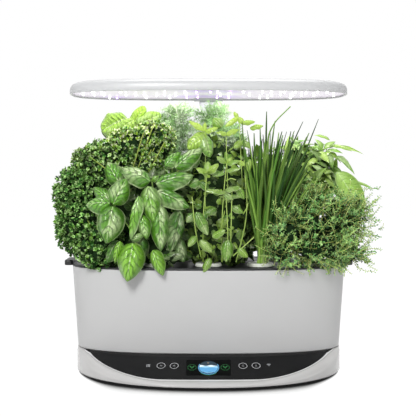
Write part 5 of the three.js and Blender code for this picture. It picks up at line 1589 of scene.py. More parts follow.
class GARDEN_OT_parsley(bpy.types.Operator):
    """Parsley: a dense heap of curled leaves"""

    bl_idname = "garden.parsley"
    bl_label = "Parsley"

    def execute(self, context):
        herbs = context.scene.garden_herbs
        sight = Sight(context.scene.garden_stage)
        draw = np.random.default_rng(herbs.seed)
        balls = [
            ((-172, -29, 213), (52, 38, 49)),
            ((-184, -12, 261), (46, 45, 46)),
            ((-160, -15, 300), (44, 39, 40)),
            ((-122, -14, 327), (35, 24, 32)),
            ((-84, -12, 339), (33, 21, 30)),
            ((-199, 21, 222), (34, 36, 40)),
            ((-149, -38, 198), (38, 30, 32)),
            ((-158, -60, 188), (36, 22, 34)),
            ((-92, -24, 294), (26, 18, 30)),
        ]
        lamplight = (0, 0, 0.6, 1.5, 2.4, 0, 0, 0, 0.9)
        forms = [frill_form(draw, rings=2, sides=10, waves=w, ruffle=0.75, cup=0.6) for w in (4, 3, 3, 4)]
        leaf = self.finish("parsley_frill", herbs.parsley, linear("b4ec84"), linear("b6e040"), linear("fbffd6"))
        stem = stem_finish("parsley_stem", "86a83e", "b9c85a")
        for name, count, sunk in (("outer", 7000, 0.0), ("inner", 2600, 8.0)):
            foliage = Foliage(herbs.seed + len(name))
            places, outward, owner = on_balls(foliage.draw, balls, count)
            n = len(places)
            depth = foliage.draw.uniform(-3.5, 7, n) + sunk
            places = places - outward * depth[:, None] * MM
            facing = unit(outward + vec(0, 0, 0.25) + 0.8 * foliage.draw.normal(size=(n, 3)))
            turns = turns_to(foliage.draw.normal(size=(n, 3)), facing)
            turns = np.stack([turns[:, :, 0], np.cross(facing, turns[:, :, 0]), facing], axis=-1)
            sizes = foliage.draw.uniform(4.2, 8.6, n)[:, None] * vec(1, 1, 1) * MM
            tones = chance_tones(foliage.draw, n, (-0.1, 0.35), (-0.4, 0.6))
            # Painted light: lumps near the lamp, and leaflets facing up, get more youth, which pales them
            lit = np.array(lamplight)[owner] * np.clip(outward[:, 2] * 0.8 + 0.5, 0, 1)
            tones[:, 1] = np.clip(tones[:, 1] + lit * foliage.draw.uniform(-0.2, 1.2, n), 0, 1)
            # Painted shade: sunk and downward-facing leaflets are darker
            tones[:, 2] = np.clip(tones[:, 2] + np.clip(depth / 16, 0, 0.6) + np.clip(-outward[:, 2], 0, 1) * 0.3, 0, 1)
            picks = foliage.draw.integers(0, len(forms), n)
            for number, form in enumerate(forms):
                mine = picks == number
                foliage.scatter(form, places[mine], turns[mine], sizes[mine], tones[mine])
            if name == "inner":
                foliage.core(balls, 0.74, (0.2, 0.0, 0.95))
                foliage.stalks((-152, -33, 158), balls, 7, 14, 12, (1.3, 0.7), (0.5, 0.3, 0.2))
                sight.stems(foliage, [[(90, 157, -46), (97, 162, -58), (106, 169, -62)]], 0.8, (0.5, 0.9, 0.0))
                inner = foliage.mesh("parsley_heart", [leaf, stem])
                finish_piece(inner, ROOT, "parsley_leaf")
            else:
                hand_over(foliage, "parsley", [leaf, stem], "parsley_leaf")
        return {"FINISHED"}

    @staticmethod
    def finish(name, deep, rim, young, pale):
        """Curled leaf: paler flecks along the rim of each leaflet, palest on young ones; they are partly the leaf's
        lighter rim and partly painted highlight. Painted shade darkens it between clumps and by the shade channel.
        """
        finish = Finish(name, IOR=1.4)
        _, place = finish.leaf_place()
        tone, youth, shade = finish.tones()
        grain = finish.noise(260, 4, roughness=0.65)
        # Painted shade between clumps
        painted_clump_shade = ((0.47 - finish.noise(48, 2)) * 6).clipped()
        flecks = ((finish.noise(210, 2) - 0.47) * 9).clipped()
        # Pale flecks along the leaflet rims: partly their lighter rim, partly painted highlight
        edge = ((place - 0.34) * 3).clipped() * flecks * (0.6 + tone * 1.4 + youth)
        base = finish.mix((youth * (0.5 + place * 0.5)).clipped(), deep, young)
        base = finish.mix((edge + grain * 0.3 - 0.15).clipped(), base, finish.mix(youth, rim, pale))
        base = finish.mix((shade + painted_clump_shade * 0.35 * (1 - youth).clipped()).clipped(), base, scaled(deep, 0.12))
        relief = finish.bump(grain, 0.5, 0.0008)
        return finish.surface(Base_Color=base, Roughness=0.36 + grain * 0.2 + shade * 0.5, Normal=relief)


BASIL_LEAVES = [
    ((120, 184, -74), (107, 161.5, -66), 20, 0.15, 0, (-0.2, -0.85, 0.4)),
    ((150, 181.5, -82), (121.5, 168, -80), 21, 0.1, 0, (0.1, -0.85, 0.5)),
    ((156, 184, -80), (193.5, 174.5, -76), 21, 0.1, 0, (0.0, -0.85, 0.5)),
    ((113, 204.5, -98), (126.5, 178, -92), 22, 0.15, 0, (0.2, -0.9, 0.35)),
    ((110, 203.5, -96), (85.5, 204.5, -92), 20, 0.15, 0, (-0.2, -0.9, 0.4)),
    ((110, 200, -94), (93, 187, -84), 14, 0.2, 0.05, (-0.3, -0.85, 0.45)),
    ((113, 206, -100), (106, 243.5, -106), 29, 0.1, 0.05, (0, -0.98, 0.2)),
    ((148, 186, -86), (153.8, 222, -98), 21, 0.3, 0, (0, -0.95, 0.32)),
    ((157, 191, -82), (190, 207, -82), 20, 0.05, 0.12, (0.1, -0.9, 0.4)),
    ((139, 196, -90), (128.8, 239, -100), 13, 0.35, 0, (-0.6, -0.75, 0.2)),
    ((159, 205, -84), (161, 251, -94), 21, 0.1, 0.1, (0.1, -0.98, 0.2)),
    ((180, 211, -76), (171, 252.5, -84), 19, 0, 0.5, (0.35, -0.9, 0.1)),
    ((142, 215, -90), (146.5, 239, -98), 14, 0.25, 0.05, (-0.1, -0.98, 0.2)),
    ((133, 243, -100), (127, 281.5, -110), 28, 0.55, 0, (0, -0.98, 0.2)),
    ((153, 250, -95), (162.5, 276, -102), 15, 0.55, 0, (-0.25, -0.95, 0.2)),
    ((120, 241, -94), (114, 263, -96), 10, 0.6, 0, (-0.4, -0.9, 0.2)),
    ((131, 240, -92), (144, 233, -90), 9, 0.3, 0.1, (0, -0.9, 0.4)),
    ((175, 168, -66), (202, 147.5, -60), 18, 0.15, 0, (-0.1, -0.85, 0.5)),
    ((165, 166, -66), (180, 150.5, -58), 14, 0.15, 0, (-0.3, -0.85, 0.4)),
    ((167, 170, -56), (169, 158, -54), 8, 0.15, 0.1, (0, -0.9, 0.4)),
    ((190, 166, -50), (200, 158, -48), 9, 0.1, 0.1, (0, -0.9, 0.4)),
    ((152, 181, -70), (158, 175, -72), 7, 0.5, 0, (0, -0.5, 0.85)),
    ((150, 182, -73), (144, 178, -76), 7, 0.5, 0, (0, -0.5, 0.85)),
    ((112, 205, -94), (117, 200, -97), 6, 0.5, 0, (0, -0.6, 0.8)),
    ((176, 236, -66), (184, 262, -78), 15, 0.0, 0.5, (0.2, -0.95, 0.1)),
    ((118, 240, -84), (106, 262, -92), 16, 0.05, 0.45, (-0.3, -0.9, 0.1)),
    ((140, 236, -78), (140, 262, -88), 18, 0.0, 0.5, (0, -0.95, 0.1)),
]


BASIL_STEMS = [
    [(155, 266, -45), (157, 225, -60), (152, 182, -70)],
    [(150, 266, -45), (135, 235, -76), (113, 206, -90)],
    [(160, 266, -45), (172, 220, -52), (172, 168, -50)],
    [(152, 266, -45), (146, 250, -80), (135, 243, -96)],
    [(152, 181, -70), (150, 180, -72), (148, 181, -74)],
]


class GARDEN_OT_basil(bpy.types.Operator):
    """Basil: large, puffed leaves that hang over the bowl's rim"""

    bl_idname = "garden.basil"
    bl_label = "Basil"

    def execute(self, context):
        herbs, sight, foliage = planting(context, 20)
        forms = [
            leaf_form(0.5, 0.8, 16, 26, -0.36, a, d, pucker=0.05, veins=5, wave=0.06, phase=p, gull=0.16, slant=2.0)
            for a, d, p in ((0.14, 0.08, 0), (0.12, 0.18, 2), (0.18, 0.12, 4))
        ]
        small = [leaf_form(0.5, 0.72, 6, 10, cup=-0.2, arch=0.1, droop=d, pucker=0.04, veins=5) for d in (0.1, 0.3)]
        sight.leaves(foliage, forms, BASIL_LEAVES)
        heap = [
            ((-62, -70, 174), (26, 16, 15)), ((-82, -44, 262), (36, 18, 32)), ((-118, -48, 232), (38, 20, 36)),
            ((-70, -46, 212), (40, 20, 36)), ((-96, -56, 186), (40, 20, 26)),
        ]
        places, outward, _ = on_balls(foliage.draw, heap, 260)
        # Painted shade: the heap's leaves behind the named ones are darker
        tones = chance_tones(foliage.draw, len(places), (0, 0.15), (0.3, 0.75))
        outward_leaves(foliage, small, places - outward * (10 * MM), outward, 24, 15, tones, 0.35, 0.3)
        back = np.flatnonzero(places[:, 1] > -36 * MM)[:40]
        outward_leaves(foliage, forms, places[back], outward[back], 34, 22, tones[back] * vec(1, 1, 0.2), 0.6, 0.1)
        foliage.core(heap, 0.8, (0.2, 0.0, 0.97))
        sight.stems(foliage, BASIL_STEMS, 1.7, (0.5, 0.4, 0.1))
        leaf = leaf_finish("basil_blade", herbs.basil, 0.5, "9cd636", "e6f8be", 0.28, 5.0, 1.4, 2.0, 0.9)
        stem = stem_finish("basil_stem", "7fa648", "a8cc66")
        return hand_over(foliage, "basil", [leaf, stem], "basil_leaf")


MINT_LEAVES = [
    ((206, 133, -42), (187, 147, -54), 21, 0.55, 0, (-0.2, -0.8, 0.5)),
    ((204, 134, -44), (211, 156, -58), 18, 0.12, 0, (0.45, -0.85, 0.3)),
    ((206, 131, -44), (189, 120.5, -42), 8, 0.9, 0, (0.0, -0.7, 0.7)),
    ((205, 132, -44), (218, 127, -50), 9, 0.75, 0, (0, -0.6, 0.8)),
    ((205, 132, -44), (205.5, 122, -42), 5, 0.9, 0, (0.5, -0.8, 0.3)),
    ((222, 127, -36), (213, 118, -34), 13, 0.25, 0, (-0.3, -0.8, 0.5)),
    ((227, 134, -52), (216.5, 132, -58), 9, 0.7, 0, (0, -0.5, 0.85)),
    ((226, 135, -54), (238, 128, -56), 9, 0.8, 0, (0.1, -0.6, 0.8)),
    ((238, 117, -46), (225, 126, -50), 7, 1.0, 0, (-0.2, -0.8, 0.5)),
    ((239, 117, -46), (244, 124, -50), 7, 0.95, 0, (0.2, -0.8, 0.5)),
    ((238, 118, -44), (234, 111.5, -42), 5, 0.95, 0, (0, -0.8, 0.5)),
    ((241, 123, -42), (255, 120.5, -40), 8, 0.7, 0, (0, -0.6, 0.8)),
    ((250, 129, -36), (263, 124, -34), 9, 0.7, 0, (0, -0.6, 0.8)),
    ((241, 141, -44), (234, 147, -52), 9, 0.45, 0, (-0.2, -0.8, 0.6)),
    ((242, 140, -44), (250, 147, -50), 8, 0.35, 0, (0.2, -0.8, 0.6)),
    ((207, 173, -80), (196.5, 167, -84), 9, 0.5, 0, (0, -0.5, 0.85)),
    ((207, 173, -80), (217.5, 163, -84), 10, 0.6, 0, (0.1, -0.6, 0.8)),
    ((207, 172, -80), (208, 161, -76), 8, 0.4, 0, (0, -0.7, 0.7)),
    ((207, 174, -80), (209, 170, -92), 9, 0.7, 0, (0, -0.5, 0.87)),
    ((226, 163, -70), (217, 156, -72), 8, 0.4, 0, (0, -0.6, 0.8)),
    ((227, 163, -70), (232, 157, -70), 6, 0.6, 0, (0, -0.7, 0.7)),
    ((227, 164, -70), (239, 160, -76), 8, 0.3, 0, (0.1, -0.6, 0.8)),
    ((226, 171, -72), (241, 167.5, -80), 7, 0.3, 0, (0.1, -0.6, 0.8)),
    ((225, 173, -72), (212.5, 175, -78), 6, 0.2, 0.1, (0, -0.6, 0.8)),
    ((238, 161, -66), (245, 165, -72), 8, 0.7, 0, (0.2, -0.8, 0.6)),
    ((250, 159, -58), (249, 172, -64), 7, 0.45, 0, (0.4, -0.9, 0.2)),
    ((226, 193, -78), (205, 189, -84), 8, 0.3, 0, (0, -0.6, 0.8)),
    ((225, 190, -80), (240, 187, -84), 9, 0.2, 0, (0.1, -0.55, 0.85)),
    ((224, 192, -76), (233, 199, -84), 8, 0.15, 0.1, (0.2, -0.8, 0.5)),
    ((196, 212, -78), (208, 235, -84), 12, 0.1, 0.1, (0, -0.95, 0.3)),
    ((193, 213, -76), (186, 222, -80), 9, 0.05, 0.2, (-0.2, -0.9, 0.3)),
    ((212, 237, -80), (225, 229.5, -86), 9, 0.3, 0.05, (0, -0.8, 0.6)),
    ((228, 240, -82), (226, 262, -88), 13, 0.15, 0.1, (0, -0.95, 0.25)),
    ((210, 258, -86), (203, 272, -92), 9, 0.25, 0.1, (-0.2, -0.9, 0.3)),
    ((238, 248, -84), (248, 257, -88), 9, 0.35, 0.05, (0.1, -0.9, 0.4)),
    ((200, 240, -80), (212, 252, -86), 10, 0.3, 0.1, (0, -0.9, 0.4)),
    ((196, 236, -78), (188, 246, -84), 8, 0.25, 0.1, (0, -0.9, 0.4)),
    ((236, 186, -72), (245, 198, -78), 10, 0.25, 0.1, (0.3, -0.8, 0.4)),
    ((232, 206, -70), (243, 212, -76), 9, 0.2, 0.15, (0.1, -0.8, 0.5)),
    ((216, 208, -68), (205, 214, -74), 10, 0.1, 0.25, (-0.1, -0.8, 0.5)),
    ((199, 180, -66), (188, 185, -70), 12, 0.05, 0.2, (-0.1, -0.8, 0.55)),
    ((200, 182, -66), (210, 190, -70), 9, 0.05, 0.3, (0.1, -0.8, 0.5)),
]


MINT_STEMS = [
    [(208, 266, -45), (205, 200, -40), (205.5, 132, -43)],
    [(210, 266, -46), (228, 200, -46), (226, 134, -54)],
    [(214, 264, -46), (243, 200, -40), (239, 117, -45)],
    [(203, 262, -60), (203, 215, -76), (207, 173, -80)],
    [(222, 262, -60), (222, 210, -72), (226.5, 163, -70)],
    [(230, 262, -64), (231, 230, -80), (232, 190, -80)],
    [(227, 262, -62), (228, 235, -76), (226, 196, -78)],
    [(201, 257, -70), (195, 230, -80), (192, 197, -78)],
    [(233, 256, -84), (242, 248, -84), (254, 237, -82)],
    [(236, 262, -70), (248, 215, -60), (244, 160, -60)],
    [(226, 181, -74), (231, 178, -78), (236, 180, -80)],
    [(243, 214, -72), (247, 208, -74), (248, 203, -74)],
]


class GARDEN_OT_mint(bpy.types.Operator):
    """Mint: upright stems with leaves in pairs and yellow-green tops"""

    bl_idname = "garden.mint"
    bl_label = "Mint"

    def execute(self, context):
        herbs, sight, foliage = planting(context, 30)
        forms = [
            leaf_form(0.55, 0.75, 12, 20, c, 0.06, d, pucker=0.045, veins=7, teeth=11, wave=0.06, phase=p, gull=0.1)
            for c, d, p in ((-0.16, 0.1, 0), (-0.1, 0.25, 2), (-0.22, 0.16, 4))
        ]
        small = [leaf_form(0.55, 0.8, 4, 8, cup=-0.15, arch=0.06, droop=0.2, pucker=0.03, veins=5, teeth=8)]
        sight.leaves(foliage, forms, MINT_LEAVES)
        sight.stems(foliage, MINT_STEMS, 1.0, (0.6, 0.75, 0.0))
        heap = [
            ((-6, -34, 200), (40, 20, 38)), ((2, -28, 262), (40, 18, 42)), ((6, -20, 314), (32, 16, 34)),
            ((36, -34, 232), (30, 18, 42)), ((34, -26, 296), (28, 16, 38)), ((28, -38, 186), (38, 22, 28)),
        ]
        places, outward, _ = on_balls(foliage.draw, heap, 1300)
        tones = chance_tones(foliage.draw, len(places), (-0.1, 0.6), (-0.6, 1.2))
        # Painted shade: leaves lower in the heap are darker
        tones[:, 2] = np.clip(tones[:, 2] + np.clip(270 - places[:, 2] / MM, 0, 100) / 300, 0, 0.95)
        outward_leaves(foliage, small, places - outward * (7 * MM), outward, 15, 9.5, tones, 0.5, 0.15)
        rear = np.flatnonzero(places[:, 1] > -24 * MM)[:60]
        outward_leaves(foliage, forms, places[rear], outward[rear], 20, 12, tones[rear] * vec(1, 1.5, 0.3), 0.7, 0.0)
        foliage.core(heap, 0.8, (0.2, 0.0, 0.97))
        leaf = leaf_finish("mint_blade", herbs.mint, 0.5, "c8ea58", "e8f6b8", 0.32, 7.0, 1.0, 1.3, 0.5)
        stem = stem_finish("mint_stem", "8fae4a", "bcd872")
        return hand_over(foliage, "mint", [leaf, stem], "mint_leaf")


class GARDEN_OT_chives(bpy.types.Operator):
    """Chives: a fan of hollow blades, one of them folded"""

    bl_idname = "garden.chives"
    bl_label = "Chives"

    def execute(self, context):
        herbs, sight, foliage = planting(context, 40)
        draw = foliage.draw
        named = [
            (266.6, 111.5, -45), (275, 121, -40), (303, 121.5, -30), (318.5, 119, -40), (282, 131.5, -52),
            (291.5, 137.6, -50), (242, 121, -56), (247, 130, -50), (254, 133, -40), (260, 128, -36), (309, 133, -20),
            (298, 146, -56), (286, 141, -58),
        ]
        tips = [sight.place(*tip) for tip in named]
        others = 112
        for share in draw.uniform(-0.66, 1.1, others):
            height = draw.uniform(0.55, 0.84) - 0.06 * abs(share - 0.3)
            tips.append(vec(88 + 58 * share, draw.uniform(-88, 8), 165 + 232 * height) * MM)
        tips = np.array(tips)
        n = len(tips)
        starts = vec(78, -46, 158) * MM + draw.uniform(-5, 5, (n, 3)) * vec(1, 1.3, 0.1) * MM
        bulge = (tips - starts) * vec(-0.16, -0.1, 0) + draw.normal(size=(n, 3)) * vec(7, 7, 0) * MM
        paths = bent(starts, tips, bulge, 14)
        swell = np.array([0.8, 0.85, 0.95, 1.05, 1.1, 1.1, 1.08, 1.05, 1, 0.93, 0.86, 0.76, 0.62, 0.3])
        radii = draw.uniform(1.1, 2.2, (n, 1)) * swell * MM
        tones = chance_tones(draw, n, (-0.2, 0.7), (-0.5, 0.5))
        # Painted shade: blades further back are darker
        tones[:, 2] = np.clip(tones[:, 2] + (tips[:, 1] / MM + 70) / 90, 0, 0.9)
        foliage.tubes(paths, radii, tones, 7, 0)
        folded = [(266, 262, -45), (268, 190, -45), (268, 135, -46), (275, 121.5, -46), (290.5, 106.5, -44)]
        line = np.array(filleted([sight.place(*spot) for spot in folded], 12 * MM, 5))
        foliage.tubes(line[None], np.linspace(1.6, 0.8, len(line))[None] * MM, vec(0.8, 0.5, 0), 7, 0)
        sheaths, steps = 14, 5
        low = vec(79, -46, 0) * MM + draw.uniform(-7, 7, (sheaths, 3)) * vec(1, 1, 0) * MM + vec(0, 0, 157 * MM)
        high = low + draw.uniform(-3, 3, (sheaths, 3)) * MM + vec(0, 0, 1) * draw.uniform(14, 30, (sheaths, 1)) * MM
        husks = bent(low, high, np.zeros((sheaths, 3)), steps)
        foliage.tubes(husks, np.linspace(2.4, 1.2, steps) * MM, (0.5, 0.95, 0.0), 6, 0)
        return hand_over(foliage, "chives", [self.finish(herbs.chives)], "chive_leaf")

    @staticmethod
    def finish(colour):
        """Hollow blade: fine lengthwise lines, darker to its tip and pale at its foot."""
        finish = Finish("chive_blade", IOR=1.4)
        across, along = finish.leaf_place()
        tone, youth, shade = finish.tones()
        lines = (across * 75).sine() * 0.5 + finish.noise(130, 3)
        base = finish.mix(tone * tone, scaled(colour, 0.35), blended(colour, linear("86bc46"), 0.4))
        base = finish.mix(youth * youth * 1.6, base, linear("9cc458"))
        base = finish.mix((1 - along * 7).clipped() * 0.6, base, linear("cfd9a0"))
        base = finish.mix(shade, base, scaled(colour, 0.3))
        relief = finish.bump(lines, 0.3, 0.0005)
        return finish.surface(Base_Color=base, Roughness=0.3 + lines * 0.1, Specular_IOR_Level=0.35, Normal=relief)


class GARDEN_OT_thyme(bpy.types.Operator):
    """Thyme: wiry stems with tiny leaves in pairs, in a spreading heap"""

    bl_idname = "garden.thyme"
    bl_label = "Thyme"

    def execute(self, context):
        herbs, _, foliage = planting(context, 50)
        draw = foliage.draw
        balls = [
            ((146, -50, 212), (44, 36, 42)),
            ((188, -42, 214), (40, 38, 40)),
            ((213, -32, 228), (24, 30, 30)),
            ((112, -74, 204), (30, 20, 34)),
            ((150, -36, 248), (34, 28, 26)),
            ((188, -26, 240), (29, 28, 24)),
            ((152, -78, 186), (54, 20, 28)),
            ((104, -84, 178), (24, 18, 22)),
            ((196, -58, 176), (34, 26, 24)),
        ]
        places, outward, _ = on_balls(draw, balls, 1750)
        n = len(places)
        sink = draw.uniform(8, 28, n)
        starts = places - outward * (sink * MM)[:, None]
        ways = unit(outward * 0.7 + vec(0.12, -0.05, 0.35) + 0.8 * draw.normal(size=(n, 3)))
        ends = starts + ways * (draw.uniform(22, 36, n) * MM)[:, None]
        low = ends[:, 2] < 150 * MM
        ends[low, 2] = 150 * MM + (ends[low, 2] - 150 * MM) * 0.25
        steps = 10
        paths = bent(starts, ends, draw.normal(size=(n, 3)) * 4.5 * MM, steps)
        tones = chance_tones(draw, n, (-0.1, 0.9), (-0.5, 0.6))
        # Painted shade: sprigs sunk deeper into the heap are darker
        tones[:, 2] = np.clip(tones[:, 2] + (sink - 15) / 14, 0, 1)
        foliage.tubes(paths[:, ::3], 0.42 * MM, tones * vec(1, 0.6, 0.5), 3)
        tiny = [leaf_form(0.5, 0.6, 2, 2, cup=-0.25, droop=0.15), leaf_form(0.5, 0.6, 2, 2, cup=0.2, arch=0.1)]
        for step, node, ahead, first in nodes_along(draw, paths, 1):
            for side in (-1, 1):
                way = unit(first * side + ahead * 0.35)
                size = draw.uniform(3.4, 5.8, n) * (1.15 - 0.5 * step / steps) * MM
                stray = [draw.uniform(-0.5, 0.5, n), draw.uniform(-0.6, 0.4, n), draw.uniform(-0.5, 0.6, n)]
                # Along each sprig the leaves grow younger, and less darkened by painted shade, toward its tip
                drift = vec(0, 0.06 * (step - 5), 0.2 - 0.05 * step)
                leaf_tones = np.clip(tones + np.stack(stray, axis=1) + drift, 0, 1)
                facing = unit(ahead + 0.4 * draw.normal(size=(n, 3)))
                foliage.leaves(tiny, node, node + way * size[:, None], facing, size * 0.56, leaf_tones)
        foliage.core(balls, 0.5, (0.2, 0.0, 1.0))
        loose = 26
        ways = [draw.uniform(low, high, loose) for low, high in ((0.1, 1), (-0.7, 0.5), (-0.25, 0.9))]
        feet = vec(205, -34, 222) * MM + draw.normal(size=(loose, 3)) * vec(18, 14, 16) * MM
        far = feet + unit(np.stack(ways, axis=1)) * (draw.uniform(30, 46, loose) * MM)[:, None]
        far[:, 0] = np.minimum(far[:, 0], 256 * MM)
        runs = bent(feet, far, draw.normal(size=(loose, 3)) * 5 * MM, 14)
        foliage.tubes(runs, 0.45 * MM, (0.5, 0.9, 0.0), 3)
        for _, node, ahead, first in nodes_along(draw, runs, 4):
            for side in (-1, 1):
                size = draw.uniform(3.2, 5.0, loose) * MM
                tips = node + unit(first * side + ahead * 0.5) * size[:, None]
                foliage.leaves(tiny, node, tips, ahead, size * 0.5, chance_tones(draw, loose))
        foliage.stalks((152, -33, 158), balls, 9, 12, 10, (1.2, 0.6), (0.5, 0.9, 0.3))
        leaf = leaf_finish("thyme_blade", herbs.thyme, 0.25, "c2f088", "d8ecc8", 0.45, 3.0, 0.2, 1.3, 0.2)
        stem = stem_finish("thyme_stem", "b4bc58", "dce68c")
        return hand_over(foliage, "thyme", [leaf, stem], "thyme_leaf")


BROAD_BASIL_LEAVES = [
    ((127, 118, 34), (101.5, 131, 28), 29, 0.35, 0, (-0.1, -0.97, 0.2)),
    ((134, 120, 30), (111, 138, 26), 21, 0.5, 0, (-0.2, -0.95, 0.25)),
    ((131, 127, 40), (145, 106, 46), 14, 0.7, 0, (0.3, -0.9, 0.3)),
    ((135, 128, 38), (161, 114, 36), 20, 0.3, 0, (0.1, -0.95, 0.3)),
    ((131, 126, 34), (146, 138, 30), 15, 0.6, 0, (0.1, -0.97, 0.2)),
    ((133, 126, 48), (150, 122, 64), 18, 0.3, 0.1, (0.2, 0.7, 0.7)),
    ((129, 126, 50), (108, 128, 66), 22, 0.3, 0.1, (-0.2, 0.8, 0.6)),
    ((131, 130, 50), (128, 148, 72), 24, 0.3, 0.1, (0, 0.95, 0.3)),
    ((131, 128, 40), (128, 133, 36), 9, 0.8, 0, (0, -0.7, 0.7)),
]


class GARDEN_OT_broad_basil(bpy.types.Operator):
    """Broad-leaved basil: large crinkled leaves near the lamp"""

    bl_idname = "garden.broad_basil"
    bl_label = "Broad basil"

    def execute(self, context):
        herbs, sight, foliage = planting(context, 60)
        forms = [
            leaf_form(0.45, 0.5, 16, 26, -0.18, 0.08, d, pucker=0.075, veins=7, teeth=14, wave=0.08, phase=p, gull=0.06)
            for d, p in ((0.05, 0), (0.12, 2.2))
        ]
        small = [leaf_form(0.5, 0.6, 8, 12, cup=-0.2, arch=0.1, droop=0.2, pucker=0.06, veins=6)]
        sight.leaves(foliage, forms, BROAD_BASIL_LEAVES)
        heap = [
            ((-122, 44, 352), (26, 22, 22)), ((-120, 44, 306), (26, 24, 30)),
            ((-116, 44, 252), (24, 24, 34)), ((-114, 42, 202), (20, 20, 26)),
        ]
        places, outward, _ = on_balls(foliage.draw, heap, 120)
        tones = chance_tones(foliage.draw, len(places), (0.05, 0.5), (-0.2, 0.5))
        outward_leaves(foliage, small, places - outward * (8 * MM), outward, 28, 20, tones, 0.5, 0.2)
        stems = [[(134.5, 262, 42), (136, 200, 42), (131, 127, 44)], [(131, 262, 44), (130, 200, 46), (140, 150, 50)]]
        sight.stems(foliage, stems, 1.9, (0.5, 0.6, 0.0))
        leaf = leaf_finish("broad_basil_blade", herbs.broad, 0.55, "bfe64a", "ecf8c4", 0.3, 7.0, 1.0, 1.3, 0.8)
        stem = stem_finish("broad_basil_stem", "86a83e", "b4d070")
        return hand_over(foliage, "broad_basil", [leaf, stem], "broad_leaf")


class GARDEN_OT_dills(bpy.types.Operator):
    """Two dills: feathery fronds on tall stems"""

    bl_idname = "garden.dills"
    bl_label = "Dills"

    def execute(self, context):
        herbs = context.scene.garden_herbs
        leaf = self.finish(herbs.dill)
        stem = stem_finish("dill_stem", "7d9c62", "a9c69a")
        plants = {
            "dill_left": ((-38, 42), [
                ((-50, 46, 360), (30, 24, 34)), ((-58, 42, 328), (26, 20, 30)), ((-42, 44, 296), (30, 20, 36)),
                ((-40, 42, 240), (36, 20, 44)), ((-38, 42, 196), (34, 20, 34)),
            ]),
            "dill_right": ((38, 42), [
                ((6, 46, 370), (32, 24, 30)), ((28, 44, 340), (26, 22, 30)), ((30, 43, 296), (30, 20, 36)),
                ((36, 42, 240), (34, 20, 44)), ((38, 42, 196), (34, 20, 34)),
            ]),
        }
        for number, (herb, (foot, balls)) in enumerate(plants.items()):
            foliage = Foliage(herbs.seed + 70 + number)
            self.fronds(foliage, foot, balls)
            foliage.core(balls[2:], 0.6, (0.1, 0.0, 0.97))
            hand_over(foliage, herb, [leaf, stem], "dill_leaf")
        return {"FINISHED"}

    @staticmethod
    def finish(colour):
        finish = Finish("dill_thread", IOR=1.2)
        tone, youth, shade = finish.tones()
        grain = finish.noise(90, 3)
        base = finish.mix(tone, scaled(colour, 0.5), colour)
        base = finish.mix((youth + grain * 0.4 - 0.1).clipped(), base, linear("fcfff0"))
        base = finish.mix(shade, base, scaled(colour, 0.3))
        return finish.surface(Base_Color=base, Roughness=0.5 + grain * 0.2)

    @staticmethod
    def fronds(foliage, foot, balls):
        draw = foliage.draw
        n = 110  # fronds
        picks = draw.choice(len(balls), n, p=(0.27, 0.2, 0.19, 0.17, 0.17))
        centres = np.array([balls[i][0] for i in picks], float)
        radii = np.array([balls[i][1] for i in picks], float)
        way = unit(draw.normal(size=(n, 3)) + vec(0, 0, 0.5))
        starts = (centres - vec(0, 0, 8) + draw.normal(size=(n, 3)) * 5) * MM
        ends = (centres + way * radii) * MM
        steps = 11
        spines = bent(starts, ends, vec(0, 0, 6) * MM + draw.normal(size=(n, 3)) * 4 * MM, steps)
        tones = chance_tones(draw, n, (-0.3, 0.7), (-0.3, 0.8))
        tones[:, 1] = np.clip(tones[:, 1], 0, 1)
        # Painted shade: fronds on the lower lumps are darker
        tones[:, 2] = np.clip(tones[:, 2] + (picks > 1) * 0.3, 0, 1)
        foliage.tubes(spines, np.linspace(0.55, 0.25, steps) * MM, tones, 3)
        lengths = np.linalg.norm(ends - starts, axis=1)
        width = np.full(n, 1.1 * MM)
        for step, node, ahead, first in nodes_along(draw, spines, 2):
            for side in (-1, 1):
                reach = lengths * (0.42 - 0.3 * abs(step / steps - 0.45)) * draw.uniform(0.7, 1.2, n)
                twig_way = unit(first * side + ahead * 0.9 + 0.15 * draw.normal(size=(n, 3)))
                twig_end = node + twig_way * reach[:, None]
                foliage.ribbons(node, twig_end, width, tones)
                flank = unit(np.cross(twig_way, first + ahead))
                for share in (0.35, 0.6, 0.85):
                    spot = node + twig_way * (reach * share)[:, None]
                    for turn in (-1, 1):
                        thread = unit(flank * turn + twig_way * 0.9 + 0.35 * draw.normal(size=(n, 3)))
                        ends = spot + thread * (draw.uniform(3.5, 8, n) * MM)[:, None]
                        foliage.ribbons(spot, ends, width, tones)
        crown = vec(*foot, 158) * MM
        stalks, threads, steps = 7, 420, 12
        tops = np.array([balls[i % len(balls)][0] for i in range(stalks)], float) * MM
        roots = crown + draw.normal(size=tops.shape) * vec(3, 3, 0) * MM
        paths = bent(roots, tops, draw.normal(size=tops.shape) * 4 * MM, steps)
        foliage.tubes(paths, np.linspace(1.7, 0.8, steps) * MM, (0.5, 0.3, 0.1), 6)
        t = draw.uniform(0.25, 1, threads)
        pick = draw.integers(0, stalks, threads)
        spot = roots[pick] * (1 - t)[:, None] + tops[pick] * t[:, None] + draw.normal(size=(threads, 3)) * 5 * MM
        ways = unit(draw.normal(size=(threads, 3)) + vec(0, 0, 0.7))
        # Painted shade: threads along the stalks inside the plant are darker
        thread_tones = chance_tones(draw, threads, (0, 0.3), (0.2, 0.6))
        foliage.ribbons(spot, spot + ways * 13 * MM, np.full(threads, 0.8 * MM), thread_tones)


